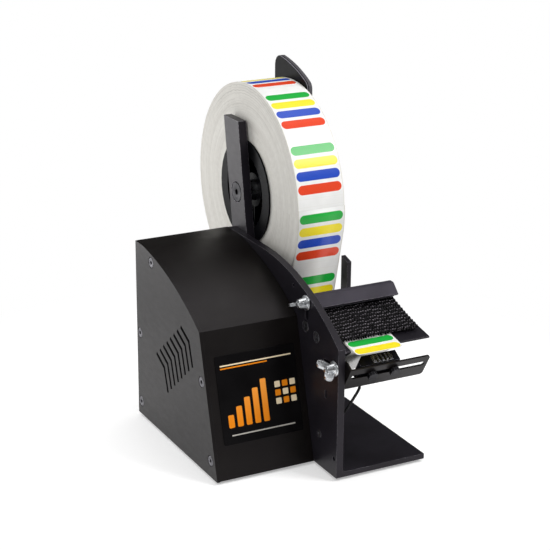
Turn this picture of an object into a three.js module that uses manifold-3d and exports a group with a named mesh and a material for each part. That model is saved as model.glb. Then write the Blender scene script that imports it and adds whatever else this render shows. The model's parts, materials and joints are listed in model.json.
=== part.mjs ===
// Desk label dispenser: an angle frame with a sheet cover, a leaning upright that carries the roll,
// a brush hood over a peel plate, a slotted sensor bar and a motor driven liner roller.
// Millimetres. X runs to the machine's right, Y to its rear and Z up. In the working frame X is zero on
// the right face of the side plate, Y is zero on its front edge and Z is zero on the desk.

import * as THREE from "three";
import Module from "manifold-3d";
import { mergeVertices } from "three/addons/utils/BufferGeometryUtils.js";

const wasm = await Module();
wasm.setup();

// Clearances and shared details
const gap = 0.3;
const overrun = 2;
const weld = 0.2;
const weldTolerance = 0.001;
const screwRim = 0.3;
const roundSteps = 28;
const smallSteps = 12;
const coarseSteps = 10;
const rollSteps = 80;
const hubSteps = 36;
const arcSteps = 16;
const cornerSteps = 4;

// Side frame: one angle, upright plate and foot plate
const plateThickness = 6.35;
const footThickness = 4.8;
const frameDepth = 205;
const footWidth = 80.8;
const frameTop = 166.8;
const frameArcRadius = 230;
const frameTopFlat = 64;
const frameArcStart = frameDepth - frameTopFlat;
const frameFillet = 3;
const sightHoleRadius = 1.7;
const sightHoleY = 79;
const sightHoleZ = 150.5;
const gaugeSlotY = 20;
const gaugeSlotZ = 72.5;
const gaugeSlotWidth = 3.2;
const gaugeSlotHeight = 8;
const spareHoleY = 4.6;
const spareHoleZ = 19.5;
const spareHoleRadius = 2.1;
const frameScrewY = 30.1;
const frameScrewZ = 32.1;
const frameScrewHead = 3.2;
const frameScrewDepth = 1.9;
const frameScrewShank = 1.5;
const frameScrewSocket = 1.2;
const frameScrewSocketDepth = 1;

// Rubber feet
const padHeight = 3;
const padRadius = 7;
const padInset = 12;

// Flat head screws
const screwHeadRadius = 4.9;
const screwHeadDepth = 2.6;
const screwShankRadius = 2.1;
const screwSocketRadius = 1.8;
const screwSocketDepth = 1.4;

// Cover: side panel, wrap, rear panel and base panel
const coverWidth = 92.25;
const sheet = 1.5;
const sidePanelThickness = 3;
const coverArcRadius = 270.4;
const coverTopFlat = 17;
const coverFlatStart = frameDepth - coverTopFlat;
const coverKneeY = 72;
const coverKneeZ = 125.5;
const coverToeY = 38.5;
const coverOverhang = 1;
const coverRearLip = 15;
const coverToeLip = 12;
const sidePanelProud = 0.9;
const sidePanelSetback = 2;
const sidePanelRear = frameDepth - sidePanelSetback;
const rearPanelInset = 4;
const baseFlange = 12;
const tabSize = 11;
const tabThickness = 3;
const coverScrewReach = 8;
const coverScrewTopRun = 36;
const coverScrewTopDrop = 9.6;
const coverScrewInset = 8.5;
const coverScrewMiddleZ = 82.5;
const coverScrewLowRise = 12.5;
const coverScrewKneeRun = 4.6;
const coverScrewKneeDrop = 42.4;
const coverScrewToeRun = 12.2;
const coverScrewToeRise = 14.8;
const coverScrews = [
  { y: frameDepth - coverScrewTopRun, z: frameTop - coverScrewTopDrop },
  { y: frameDepth - coverScrewInset, z: coverScrewMiddleZ },
  { y: frameDepth - coverScrewInset, z: padHeight + coverScrewLowRise },
  { y: coverKneeY - coverScrewKneeRun, z: coverKneeZ - coverScrewKneeDrop },
  { y: coverToeY + coverScrewToeRun, z: padHeight + coverScrewToeRise },
];
const ventCount = 8;
const ventWidth = 1.8;
const ventTipY = 159.3;
const ventTipZ = 75.6;
const ventKneeDrop = 7.6;
const ventKneeRun = 15.7;
const ventLegRun = 7;
const ventLegFall = 20.3;
const ventStepY = 7.4;
const ventStepZ = 6.1;

// Front overlay on the sloping panel
const overlayLeftInset = 7.6;
const overlayRightInset = 6.35;
const overlayLow = 29;
const overlayHigh = 104.5;
const overlayCorner = 1.5;
const overlayThickness = 0.4;

// Upright bar that carries the roll
const barThickness = 7.9;
const barWidth = 28.6;
const barLean = 9.7;
const barTop = 266;
const barFoot = 118;
const barScrewZ = [130, 152];
const barScrewRadius = 3;
const barScrewHeadRadius = 5.5;
const barScrewHeadDepth = 3;
const barScrewBite = 5.5;

// Roll axle, hub screw and reel
const reelSetback = 3.5;
const reelY = frameDepth - reelSetback;
const reelZ = 200;
const hubScrewHeadRadius = 9.6;
const hubScrewHeadDepth = 4.2;
const hubScrewShankRadius = 4.5;
const hubScrewSocketRadius = 3;
const hubScrewSocketDepth = 2.2;
const hubScrewReach = 14;
const axleRadius = 9.5;
const axleEnd = 90;
const axleChamfer = 1.2;
const hubFlangeRadius = 48;
const hubFlangeThickness = 1.6;
const hubWall = 2.6;
const hubBossRadius = 15.5;
const hubLength = 44;
const hubWebDepth = 21;
const hubWebThickness = 3;
const hubBossSetback = 5;
const hubBossRecess = 8.9;
const hubRibCount = 5;
const hubRibThickness = 1.6;
const hubRibRecess = 9.5;
const hubRibTurn = -93;
const coreBoreRadius = 38.1;
const coreWall = 3;
const rollWidth = 46;
const rollRadius = 98.5;

// Outer guide arm and its hand knob
const guideArmThickness = 5;
const guideArmHalfWidth = 31.5;
const guideArmOffset = 3.5;
const guideArmTop = 115.5;
const guideArmCorner = 10;
const guideShoulderRun = 3.5;
const guideShoulderRise = 100.4;
const guideShoulderFall = 7.4;
const guideShoulderRadius = 8;
const guideTopRadius = 141;
const guideArmPlay = 0.6;
const knobLength = 17;
const knobRadius = 17;
const knobHubRadius = 13;
const knobHubLength = 5;
const knobLobes = 6;
const knobLobeDepth = 2;

// Clamp bolts and wing nuts
const boltRadius = 2.4;
const boltTail = 9.6;
const boltHeadRadius = 4.6;
const boltHeadThickness = 3.2;
const slotClearance = 0.3;
const wingFlangeRadius = 6.6;
const wingFlangeThickness = 1.4;
const wingHubRadius = 5;
const wingHubTopRadius = 3.9;
const wingHubHeight = 8.5;
const wingSpan = 22.6;
const wingHeight = 13;
const wingThickness = 2.6;
const wingEarRadius = 3.9;
const wingRecess = 0.35;
const wingRecessRim = 1.3;
const wingRootHeight = 3.4;
const hoodNutTurn = -20;
const barNutTurn = 25.4;

// Brush hood
const hoodBoltY = 55;
const hoodBoltZ = 142.5;
const hoodSlotTravel = 12.8;
const hoodLength = 77.2;
const hoodBackReach = 5;
const hoodFrontReach = 4;
const hoodRise = 6;
const hoodDrop = 6.5;
const hoodCorner = 2.5;
const hoodBrowSetback = 0.5;
const hoodBrowRadius = 4;
const hoodBrowTurn = 44;
const hoodBrowLength = 10.4;
const hoodBrowThickness = 2;
const hoodBoltReach = 12.6;

// Brush strips under the hood: crimped strands in layers, swept forward over the peel plate
const brushInset = 0.7;
const brushBackingHeight = 1.4;
const brushBackingDepth = 8;
const brushBackingInset = 0.5;
const brushColumns = 60;
const brushLayers = 5;
const brushStrandRadius = 0.27;
const brushTipSpread = 1.3;
const brushWander = 0.12;
const brushRootY = 52.3;
const brushLayerRise = 0.35;
const brushLowerSetback = 1.2;
const brushLow = [
  [43, 127.4],
  [26, 123],
  [9.4, 121.1],
];
const brushHigh = [
  [43, 131.6],
  [26, 126.5],
  [9.4, 123.1],
];

// Peel plate
const peelFrontY = 0.5;
const peelFrontZ = 116.5;
const peelSlope = 10.2;
const peelThickness = 2;
const peelRearY = 61;
const peelBendRadius = 6;
const peelBendTurn = 44;
const peelRight = 81.5;
const peelEarDepth = 11;
const peelEarThickness = 3;
const peelEarFront = 31;
const peelEarRear = 60;
const peelScrewY = [37.9, 56.7];
const peelScrewDrop = 5.9;

// Web guide rod and edge guide
const rodY = 111;
const rodZ = 105;
const rodRadius = 6.35;
const rodEnd = 78;
const rodScrewRadius = 2.5;
const rodScrewHeadRadius = 4.8;
const rodScrewHeadThickness = 3;
const rodScrewReach = 12;
const edgeGuideX = 62;
const edgeGuideThickness = 4;
const edgeGuideWidth = 11;
const edgeGuideEyeRadius = 9;
const edgeGuideTop = 155.6;
const edgeGuideTopFall = 3;
const edgeGuideCollarRadius = 10;
const edgeGuideCollarLength = 8.5;
const edgeScrewRadius = 2;
const edgeScrewHeadRadius = 4.6;
const edgeScrewHeadHeight = 5;

// Sensor bar
const barBoltY = 5.6;
const barBoltZ = 101;
const barSlotTravel = 17;
const sensorBarFootY = 3.5;
const sensorBarFootZ = 81.5;
const sensorBarTilt = 30.8;
const sensorBarWidth = 24.6;
const sensorBarThickness = 1.6;
const sensorBarEnd = 77.5;
const sensorBarCorner = 3;
const sensorSlotHeight = 15.2;
const sensorSlotWidth = 5.2;
const sensorSlotStart = 3.5;
const sensorSlotEnd = 74.5;
const sensorEarRear = 13.5;
const sensorEarTop = 107;
const sensorEarCorner = 3;
const barEarDrop = 7;
const barEarNose = 7;

// Sensor block, window and clamp screws
const sensorLeft = 10.4;
const sensorRight = 48.2;
const sensorDepth = 10.2;
const sensorProud = 1;
const sensorBodyDrop = 17;
const sensorCorner = 5;
const windowLeft = 23.5;
const windowRight = 43;
const windowInset = 1.3;
const windowDepth = 3;
const windowRibs = 5;
const windowRibWidth = 1.1;
const windowRibHeight = 0.9;
const sensorScrewX = [23, 44.4];
const sensorScrewRadius = 1.9;
const sensorScrewHeadRadius = 4.6;
const sensorScrewHeadThickness = 3.6;
const sensorScrewReach = 9;
const knurlCount = 12;
const knurlDepth = 0.5;
const glandX = 19;
const glandY = 7.8;
const glandRadius = 2.4;
const glandBottom = 81.5;
const glandTop = 96;

// Sensor cable route, from under the gland to the grommet in the side plate
const cableRadius = 1.2;
const cableSides = 8;
const cableSteps = 22;
const cableRoute = [
  [19, 7.8, 80.9],
  [18.6, 7.7, 77.5],
  [12, 7.2, 68.5],
  [6.8, 9.4, 59],
  [5.6, 20, 49.5],
  [5.6, 38, 44],
  [5.6, 52, 42.4],
  [5, 58.6, 42.1],
  [3.7, 61.4, 42],
  [1.8, 62, 42],
];
const grommetY = 62;
const grommetZ = 42;
const grommetRadius = 4.2;
const grommetFlange = 6;
const grommetFlangeThickness = 1.2;
const grommetBore = 1.6;

// Liner drive
const driveY = 80;
const driveZ = 76;
const driveRadius = 12.7;
const driveRubber = 3.2;
const driveLeft = 4.4;
const driveRight = 56;
const driveShaftRadius = 3;
const driveShaftReach = 9;
const bearingRadius = 6;
const bearingFlange = 8;
const bearingFlangeThickness = 1.5;
const pinchRadius = 8;
const pinchAngle = -60;
const pinchCollarRadius = 5;
const pinchCollarThickness = 1.5;
const pinchStudRadius = 2.5;
const pinchHeadThickness = 1.5;
const gearboxRadius = 18.5;
const gearboxLength = 24;
const motorRadius = 17;
const motorLength = 32;
const motorOffset = 7;
const motorOffsetAngle = 45;
const motorCapRadius = 10;
const motorCapLength = 5;

// Circuit board, power jack and switch
const boardInset = 5.6;
const boardWidth = 56;
const boardSetback = 29;
const boardDepth = 68;
const boardThickness = 1.6;
const boardStandoff = 7;
const boardStandoffRadius = 3;
const boardStandoffInset = 5;
const boardPartHeight = 20;
const boardPartShares = [
  { x: 5 / 28, y: 9 / 34, width: 9 / 28, depth: 11 / 34, height: 1 },
  { x: 9 / 14, y: 7 / 34, width: 1 / 4, depth: 7 / 34, height: 0.6 },
  { x: 11 / 14, y: 21 / 34, width: 5 / 28, depth: 15 / 34, height: 0.4 },
  { x: 1 / 4, y: 25 / 34, width: 5 / 14, depth: 4 / 17, height: 0.7 },
];
const jackInset = 19.6;
const jackZ = 32;
const jackRadius = 5.8;
const jackFlangeRadius = 8;
const jackFlangeThickness = 1.6;
const jackDepth = 16;
const jackBore = 3.1;
const jackBoreDepth = 10;
const jackPin = 1;
const switchInset = 45.6;
const switchZ = 32;
const bezelWidth = 19;
const bezelHeight = 25;
const bezelFlange = 2.2;
const bezelProud = 1.8;
const bezelDepth = 13;
const bezelWall = 1.6;
const rockerTilt = 8;
const rockerProud = 2.5;
const rockerInset = 2;
const rockerDepth = 6;

// Label web and the label being dispensed
const webThickness = 0.4;
const webExit = 14;
const webWrap = 14;
const webStepAngle = 9;
const webShift = 5.4;
const labelMargin = 0.75;
const labelThickness = 0.3;
const labelFrontY = -9.2;
const labelRearY = 30;
const labelCorner = 3;

// Finishes
const finish = (color, roughness, metalness) =>
  new THREE.MeshStandardMaterial({ color, roughness, metalness });
const blackPlate = finish(0x1b1a1d, 0.5, 0.4);
const blackSheet = finish(0x131214, 0.55, 0.35);
const greyBlack = finish(0x3a373c, 0.5, 0.4);
const blackPlastic = finish(0x101012, 0.45, 0);
const blackRubber = finish(0x161616, 0.85, 0);
const blackBristle = finish(0x1a191b, 0.8, 0);
const brightSteel = finish(0xb9bcc0, 0.3, 0.9);
const blackSteel = finish(0x252427, 0.45, 0.6);
const paper = finish(0xf1efe9, 0.85, 0);
const kraft = finish(0xa98f6a, 0.9, 0);
const boardGreen = finish(0x1d5a36, 0.6, 0);
const windowGrey = finish(0x2b2b30, 0.2, 0);

// Derived sizes of the frame and the cover
const radians = THREE.MathUtils.degToRad;
const frameBottom = padHeight;
const footTop = frameBottom + footThickness;
const plateLeft = -plateThickness;
const coverRight = plateLeft - gap;
const coverLeft = plateLeft - coverWidth + sidePanelThickness;
const sidePanelRight = coverLeft - gap;
const sidePanelLeft = sidePanelRight - sidePanelThickness;
const coverRear = frameDepth + coverOverhang;
const overlayLeft = coverLeft + overlayLeftInset;
const overlayRight = coverRight - overlayRightInset;
const jackX = coverLeft + jackInset;
const switchX = coverLeft + switchInset;
const boardLeft = coverLeft + boardInset;
const boardRight = boardLeft + boardWidth;
const boardRear = frameDepth - boardSetback;
const boardFront = boardRear - boardDepth;
const basePanelTop = frameBottom + sheet;
const reelLeft = barThickness + gap + gap;
const rollLeft = reelLeft + hubFlangeThickness + gap;
const rollRight = rollLeft + rollWidth;

// Point on an outline
const point = (x, y) => new THREE.Vector2(x, y);
const polar = (centre, radius, angle) =>
  point(centre.x + radius * Math.cos(angle), centre.y + radius * Math.sin(angle));

// Points of an arc about a centre, both ends included
function arc(centre, radius, from, to, steps = arcSteps) {
  const points = [];
  for (let i = 0; i <= steps; i += 1) {
    points.push(polar(centre, radius, from + ((to - from) * i) / steps));
  }
  return points;
}

// Centre of an arc of a given radius through two points, on the right of the way from a to b
function arcCentre(a, b, radius) {
  const middle = a.clone().add(b).multiplyScalar(1 / 2);
  const half = a.distanceTo(b) / 2;
  const along = b.clone().sub(a).normalize();
  const rise = Math.sqrt(radius * radius - half * half);
  return point(middle.x + along.y * rise, middle.y - along.x * rise);
}

const angleFrom = (centre, p) => Math.atan2(p.y - centre.y, p.x - centre.x);

// The same path moved sideways by a distance, with mitred corners, to the left of its direction
function sidestep(path, distance) {
  return path.map((p, i) => {
    const before = path[Math.max(i - 1, 0)];
    const after = path[Math.min(i + 1, path.length - 1)];
    const a = i > 0 ? p.clone().sub(before).normalize() : after.clone().sub(p).normalize();
    const b = i < path.length - 1 ? after.clone().sub(p).normalize() : a.clone();
    const mitre = a.clone().add(b).normalize();
    const spread = distance / Math.max(mitre.dot(b), 1 / 2);
    return point(p.x - mitre.y * spread, p.y + mitre.x * spread);
  });
}

// Closed outline of a strip between two sidesteps of a path
function strip(path, left, right) {
  return [...sidestep(path, left), ...sidestep(path, right).reverse()];
}

// One closed mesh with shared vertices and its faces pointing out
function closed(geometry) {
  const bare = geometry.index ? geometry.toNonIndexed() : geometry.clone();
  bare.deleteAttribute("normal");
  bare.deleteAttribute("uv");
  const merged = mergeVertices(bare, weldTolerance);
  const place = merged.attributes.position;
  const source = merged.index.array;
  const kept = [];
  let volume = 0;
  const [a, b, c] = [new THREE.Vector3(), new THREE.Vector3(), new THREE.Vector3()];
  for (let i = 0; i < source.length; i += 3) {
    const [p, q, r] = [source[i], source[i + 1], source[i + 2]];
    if (p !== q && q !== r && r !== p) {
      kept.push(p, q, r);
      a.fromBufferAttribute(place, p);
      b.fromBufferAttribute(place, q);
      c.fromBufferAttribute(place, r);
      volume += a.dot(b.cross(c));
    }
  }
  if (volume < 0) {
    kept.reverse();
  }
  merged.setIndex(kept);
  return merged;
}

// Closed mesh to solid and back
function toSolid(geometry) {
  const mesh = closed(geometry);
  return new wasm.Manifold(
    new wasm.Mesh({
      numProp: 3,
      vertProperties: new Float32Array(mesh.attributes.position.array),
      triVerts: new Uint32Array(mesh.index.array),
    }),
  );
}

function toGeometry(solid) {
  const mesh = solid.getMesh();
  const geometry = new THREE.BufferGeometry();
  geometry.setAttribute("position", new THREE.BufferAttribute(mesh.vertProperties, 3));
  geometry.setIndex(new THREE.BufferAttribute(mesh.triVerts, 1));
  return geometry;
}

function join(...geometries) {
  return toGeometry(geometries.map(toSolid).reduce((sum, next) => sum.add(next)));
}

function cut(geometry, ...tools) {
  return toGeometry(tools.map(toSolid).reduce((left, tool) => left.subtract(tool), toSolid(geometry)));
}

function common(a, b) {
  return toGeometry(toSolid(a).intersect(toSolid(b)));
}

// Prisms: an outline of (Y, Z) points along X, of (X, Z) points along Y, of (X, Y) points along Z
function prism(outline, depth, holes) {
  const shape = new THREE.Shape(outline);
  shape.holes = holes.map((hole) => new THREE.Path(hole));
  return new THREE.ExtrudeGeometry(shape, { depth, bevelEnabled: false, steps: 1 });
}

const [alongX, alongY, alongZ] = [
  new THREE.Vector3(1, 0, 0),
  new THREE.Vector3(0, 1, 0),
  new THREE.Vector3(0, 0, 1),
];

function prismX(outline, from, to, holes = []) {
  const turn = new THREE.Matrix4().makeBasis(alongY, alongZ, alongX);
  return prism(outline, to - from, holes).applyMatrix4(turn).translate(from, 0, 0);
}

function prismY(outline, from, to, holes = []) {
  const turn = new THREE.Matrix4().makeBasis(alongX, alongZ, alongY.clone().negate());
  return prism(outline, to - from, holes).applyMatrix4(turn).translate(0, to, 0);
}

function prismZ(outline, from, to, holes = []) {
  return prism(outline, to - from, holes).translate(0, 0, from);
}

function block(x0, x1, y0, y1, z0, z1) {
  const box = new THREE.BoxGeometry(x1 - x0, y1 - y0, z1 - z0);
  return box.translate((x0 + x1) / 2, (y0 + y1) / 2, (z0 + z1) / 2);
}

const circle = (centre, radius, steps = roundSteps) =>
  arc(centre, radius, 0, 2 * Math.PI, steps).slice(0, steps);

// Turned shapes about an axis along X or Z: the profile is a list of (radius, place along the axis)
function turnedX(profile, y, z, steps = roundSteps) {
  const turn = new THREE.Matrix4().makeBasis(alongY, alongX, alongZ.clone().negate());
  const outline = profile.map(([radius, place]) => point(radius, place));
  return new THREE.LatheGeometry(outline, steps).applyMatrix4(turn).translate(0, y, z);
}

function turnedZ(profile, x, y, steps = roundSteps) {
  const outline = profile.map(([radius, place]) => point(radius, place));
  return new THREE.LatheGeometry(outline, steps).rotateX(Math.PI / 2).translate(x, y, 0);
}

const rodX = (radius, x0, x1, y, z, steps = roundSteps) =>
  turnedX([[0, x0], [radius, x0], [radius, x1], [0, x1]], y, z, steps);

const tubeX = (bore, radius, x0, x1, y, z, steps = roundSteps) =>
  turnedX([[bore, x0], [radius, x0], [radius, x1], [bore, x1], [bore, x0]], y, z, steps);

const rodZUp = (radius, z0, z1, x, y, steps = smallSteps) =>
  turnedZ([[0, z0], [radius, z0], [radius, z1], [0, z1]], x, y, steps);

// A rounded slot outline from one centre to another
function slotOutline(from, to, radius) {
  const heading = angleFrom(from, to);
  return [
    ...arc(from, radius, heading + Math.PI / 2, heading + (3 * Math.PI) / 2, cornerSteps + cornerSteps),
    ...arc(to, radius, heading - Math.PI / 2, heading + Math.PI / 2, cornerSteps + cornerSteps),
  ];
}

// Parts are collected in one group
const machine = new THREE.Group();

function add(name, geometry, material, parent = machine) {
  const mesh = new THREE.Mesh(closed(geometry), material);
  mesh.name = name;
  parent.add(mesh);
  return mesh;
}

// Side frame: the angle with its arched top and every hole in the upright plate
const frameArcCentre = point(frameArcStart, frameTop - frameArcRadius);

function plateOutline() {
  const end = Math.acos(-frameArcStart / frameArcRadius);
  return [
    point(0, frameBottom),
    point(frameDepth, frameBottom),
    point(frameDepth, frameTop),
    ...arc(frameArcCentre, frameArcRadius, Math.PI / 2, end, arcSteps),
  ];
}

function angleSection() {
  const centre = point(frameFillet, footTop + frameFillet);
  return [
    point(plateLeft, frameBottom),
    point(footWidth, frameBottom),
    point(footWidth, footTop),
    ...arc(centre, frameFillet, -Math.PI / 2, -Math.PI, cornerSteps),
    point(plateLeft, footTop + frameFillet),
  ];
}

// Flat head screw with a hexagon socket, head at its left, and the seat that it sits in
function flatScrew(face, y, z, size) {
  const { head, depth, shank, reach, socket, socketDepth } = size;
  const body = turnedX(
    [[0, face], [head, face], [head, face + screwRim], [shank, face + depth],
      [shank, face + reach], [0, face + reach]],
    y, z, smallSteps,
  );
  const hexagon = circle(point(y, z), socket, 6);
  return cut(body, prismX(hexagon, face - overrun, face + socketDepth));
}

function flatSeat(face, y, z, size) {
  const { head, depth, shank, reach } = size;
  const end = face + reach + gap;
  return turnedX(
    [[0, face - overrun], [head + gap, face - overrun], [head + gap, face + screwRim + gap],
      [shank + gap, face + depth + gap], [shank + gap, end], [0, end]],
    y, z, smallSteps,
  );
}

// Pan head screw driven from the left
function panScrew(face, y, z, head, headThickness, shank, reach) {
  const top = face - headThickness;
  return turnedX(
    [[0, top], [head, top], [head, face], [shank, face], [shank, face + reach], [0, face + reach]],
    y, z, smallSteps,
  );
}

const peelScrew = {
  head: screwHeadRadius,
  depth: screwHeadDepth,
  shank: screwShankRadius,
  reach: plateThickness + gap + peelEarThickness,
  socket: screwSocketRadius,
  socketDepth: screwSocketDepth,
};
const coverScrew = { ...peelScrew, reach: coverScrewReach };
const frameScrew = {
  head: frameScrewHead,
  depth: frameScrewDepth,
  shank: frameScrewShank,
  reach: plateThickness,
  socket: frameScrewSocket,
  socketDepth: frameScrewSocketDepth,
};
const hubScrew = {
  head: hubScrewHeadRadius,
  depth: hubScrewHeadDepth,
  shank: hubScrewShankRadius,
  reach: barThickness + gap + hubScrewReach,
  socket: hubScrewSocketRadius,
  socketDepth: hubScrewSocketDepth,
};

// Heights along the peel plate and the upright bar
const peelAngle = radians(peelSlope);
const peelTopAt = (y) => peelFrontZ + (y - peelFrontY) * Math.tan(peelAngle);
const leanAngle = radians(barLean);
const barMiddleAt = (z) => reelY + (z - reelZ) * Math.tan(leanAngle);
const peelScrewPlaces = peelScrewY.map((y) => ({ y, z: peelTopAt(y) - peelScrewDrop }));
const pinchTurn = radians(pinchAngle);
const webRadiusAdd = gap + webThickness / 2;
const pinchReach = driveRadius + pinchRadius + gap + webThickness + gap;
const pinchCentre = polar(point(driveY, driveZ), pinchReach, pinchTurn);

function plateHole(radius, y, z) {
  return rodX(radius, plateLeft - overrun, overrun, y, z, smallSteps);
}

function plateSlot(from, to, radius) {
  return prismX(slotOutline(from, to, radius), plateLeft - overrun, overrun);
}

function sideFrame() {
  const body = join(
    prismX(plateOutline(), plateLeft, 0),
    prismY(angleSection(), 0, frameDepth),
  );
  const slotRadius = boltRadius + slotClearance;
  const gaugeReach = (gaugeSlotHeight - gaugeSlotWidth) / 2;
  return cut(
    body,
    plateSlot(point(hoodBoltY, hoodBoltZ), point(hoodBoltY, hoodBoltZ - hoodSlotTravel), slotRadius),
    plateSlot(point(barBoltY, barBoltZ), point(barBoltY + barSlotTravel, barBoltZ), slotRadius),
    plateSlot(
      point(gaugeSlotY, gaugeSlotZ - gaugeReach),
      point(gaugeSlotY, gaugeSlotZ + gaugeReach),
      gaugeSlotWidth / 2,
    ),
    plateHole(sightHoleRadius, sightHoleY, sightHoleZ),
    plateHole(spareHoleRadius, spareHoleY, spareHoleZ),
    plateHole(grommetRadius + gap, grommetY, grommetZ),
    plateHole(bearingRadius + gap, driveY, driveZ),
    plateHole(pinchStudRadius + gap, pinchCentre.x, pinchCentre.y),
    plateHole(rodScrewRadius + gap, rodY, rodZ),
    ...barScrewZ.map((z) => plateHole(barScrewRadius + gap, barMiddleAt(z), z)),
    ...peelScrewPlaces.map(({ y, z }) => flatSeat(plateLeft, y, z, { ...peelScrew, reach: overrun * 5 })),
    flatSeat(plateLeft, frameScrewY, frameScrewZ, { ...frameScrew, reach: overrun * 5 }),
  );
}

// Cover: the folded wrap, the side panel with its chevron vents, the rear panel and the base panel
const coverToe = point(coverToeY, frameBottom);
const coverKnee = point(coverKneeY, coverKneeZ);
const coverFlatEnd = point(coverFlatStart, frameTop);
const coverArcCentre = arcCentre(coverKnee, coverFlatEnd, coverArcRadius);

function coverEdge(rear) {
  const from = angleFrom(coverArcCentre, coverFlatEnd);
  const to = angleFrom(coverArcCentre, coverKnee);
  return [
    point(rear, frameTop),
    ...arc(coverArcCentre, coverArcRadius, from, to, arcSteps),
    coverToe.clone(),
  ];
}

function coverOutline(rear, bottom) {
  return [point(rear, bottom), ...coverEdge(rear), point(coverToeY, bottom)];
}

function screwTab(y, z, y0, y1, z0, z1) {
  const tab = block(coverLeft, coverLeft + tabThickness, y0, y1, z0, z1);
  return cut(tab, rodX(screwShankRadius + gap, coverLeft - overrun, coverRight, y, z, smallSteps));
}

function wrapCover() {
  const path = [
    point(coverRear, frameTop - coverRearLip),
    ...coverEdge(coverRear),
    point(coverToeY + coverToeLip, frameBottom),
  ];
  const skin = prismX(strip(path, 0, sheet), coverLeft, coverRight);
  const room = prismX(coverOutline(coverRear, frameBottom), coverLeft, coverRight);
  const half = tabSize / 2;
  const [top, , , middle, low] = coverScrews;
  const tabs = [
    screwTab(top.y, top.z, top.y - half, top.y + half, top.z - half, frameTop),
    screwTab(middle.y, middle.z, coverToeY, middle.y + half, middle.z - half, middle.z + half),
    screwTab(low.y, low.z, coverToeY, low.y + half, low.z - half, low.z + half),
  ];
  return join(skin, ...tabs.map((tab) => common(tab, room)));
}

function ventOutline(index) {
  const tip = point(ventTipY - index * ventStepY, ventTipZ + index * ventStepZ);
  const knee = point(tip.x - ventKneeRun, tip.y - ventKneeDrop);
  const foot = point(knee.x - ventLegRun, knee.y - ventLegFall);
  return strip([tip, knee, foot], ventWidth / 2, -ventWidth / 2);
}

function sideCover() {
  const edge = sidestep(coverEdge(sidePanelRear), -sidePanelProud);
  const outline = [
    point(sidePanelRear, frameBottom),
    ...edge,
    point(coverToeY - sidePanelProud, frameBottom),
  ];
  const panel = prismX(outline, sidePanelLeft, sidePanelRight);
  const vents = Array.from({ length: ventCount }, (_, i) =>
    prismX(ventOutline(i), sidePanelLeft - overrun, sidePanelRight + overrun));
  return cut(
    panel,
    ...vents,
    ...coverScrews.map(({ y, z }) => flatSeat(sidePanelLeft, y, z, coverScrew)),
  );
}

const rearPanelY = coverRear - rearPanelInset;

function rearPanel() {
  const bottom = basePanelTop + gap;
  const path = [
    point(rearPanelY, frameTop - sheet - gap),
    point(rearPanelY, bottom),
    point(rearPanelY - coverToeLip, bottom),
  ];
  const skin = prismX(strip(path, -sheet, 0), coverLeft, coverRight);
  const half = tabSize / 2;
  const tabs = coverScrews.slice(1, 3).map(({ y, z }) =>
    screwTab(y, z, y - half, rearPanelY - weld, z - half, z + half));
  const jack = new THREE.CylinderGeometry(jackRadius + gap, jackRadius + gap, jackDepth, roundSteps)
    .translate(jackX, rearPanelY, jackZ);
  const wide = bezelWidth / 2 + gap;
  const tall = bezelHeight / 2 + gap;
  const opening = block(
    switchX - wide, switchX + wide,
    rearPanelY - bezelDepth, rearPanelY + bezelDepth,
    switchZ - tall, switchZ + tall,
  );
  return cut(join(skin, ...tabs), jack, opening);
}

function basePanel() {
  const front = coverToeY + coverToeLip + gap;
  const flangeRear = rearPanelY - coverToeLip - gap;
  return join(
    block(coverLeft, coverRight, front, sidePanelRear, frameBottom, basePanelTop),
    block(coverRight - sheet, coverRight, front, flangeRear, frameBottom, frameBottom + baseFlange),
  );
}

function frontOverlay() {
  const along = coverKnee.clone().sub(coverToe).normalize();
  const axis = new THREE.Vector3(0, along.x, along.y);
  const out = alongX.clone().cross(axis);
  const turn = new THREE.Matrix4().makeBasis(alongX, axis, out);
  const outline = roundedBox(overlayLeft, overlayRight, overlayLow, overlayHigh, overlayCorner);
  return prismZ(outline, gap, gap + overlayThickness)
    .applyMatrix4(turn)
    .translate(0, coverToe.x, coverToe.y);
}

// Rectangle outline with rounded corners
function roundedBox(x0, x1, y0, y1, radius) {
  const right = Math.PI / 2;
  return [
    ...arc(point(x1 - radius, y0 + radius), radius, -right, 0, cornerSteps),
    ...arc(point(x1 - radius, y1 - radius), radius, 0, right, cornerSteps),
    ...arc(point(x0 + radius, y1 - radius), radius, right, Math.PI, cornerSteps),
    ...arc(point(x0 + radius, y0 + radius), radius, Math.PI, Math.PI + right, cornerSteps),
  ];
}

// Upright bar, axle and reel
const barLeft = gap;
const barRight = gap + barThickness;

function uprightBar() {
  const half = barWidth / 2 / Math.cos(leanAngle);
  const outline = [
    point(barMiddleAt(barFoot) - half, barFoot),
    point(barMiddleAt(barFoot) + half, barFoot),
    point(barMiddleAt(barTop) + half, barTop),
    point(barMiddleAt(barTop) - half, barTop),
  ];
  return cut(
    prismX(outline, barLeft, barRight),
    flatSeat(barLeft, reelY, reelZ, hubScrew),
    ...barScrewZ.map((z) =>
      rodX(barScrewRadius + gap, 0, barLeft + barScrewBite + gap, barMiddleAt(z), z, smallSteps)),
  );
}

function rollAxle() {
  const body = turnedX(
    [[0, reelLeft], [axleRadius, reelLeft], [axleRadius, axleEnd - axleChamfer],
      [axleRadius - axleChamfer, axleEnd], [0, axleEnd]],
    reelY, reelZ,
  );
  const bore = hubScrewShankRadius + gap;
  return cut(body, rodX(bore, reelLeft - overrun, barLeft + hubScrew.reach + gap, reelY, reelZ));
}

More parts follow.
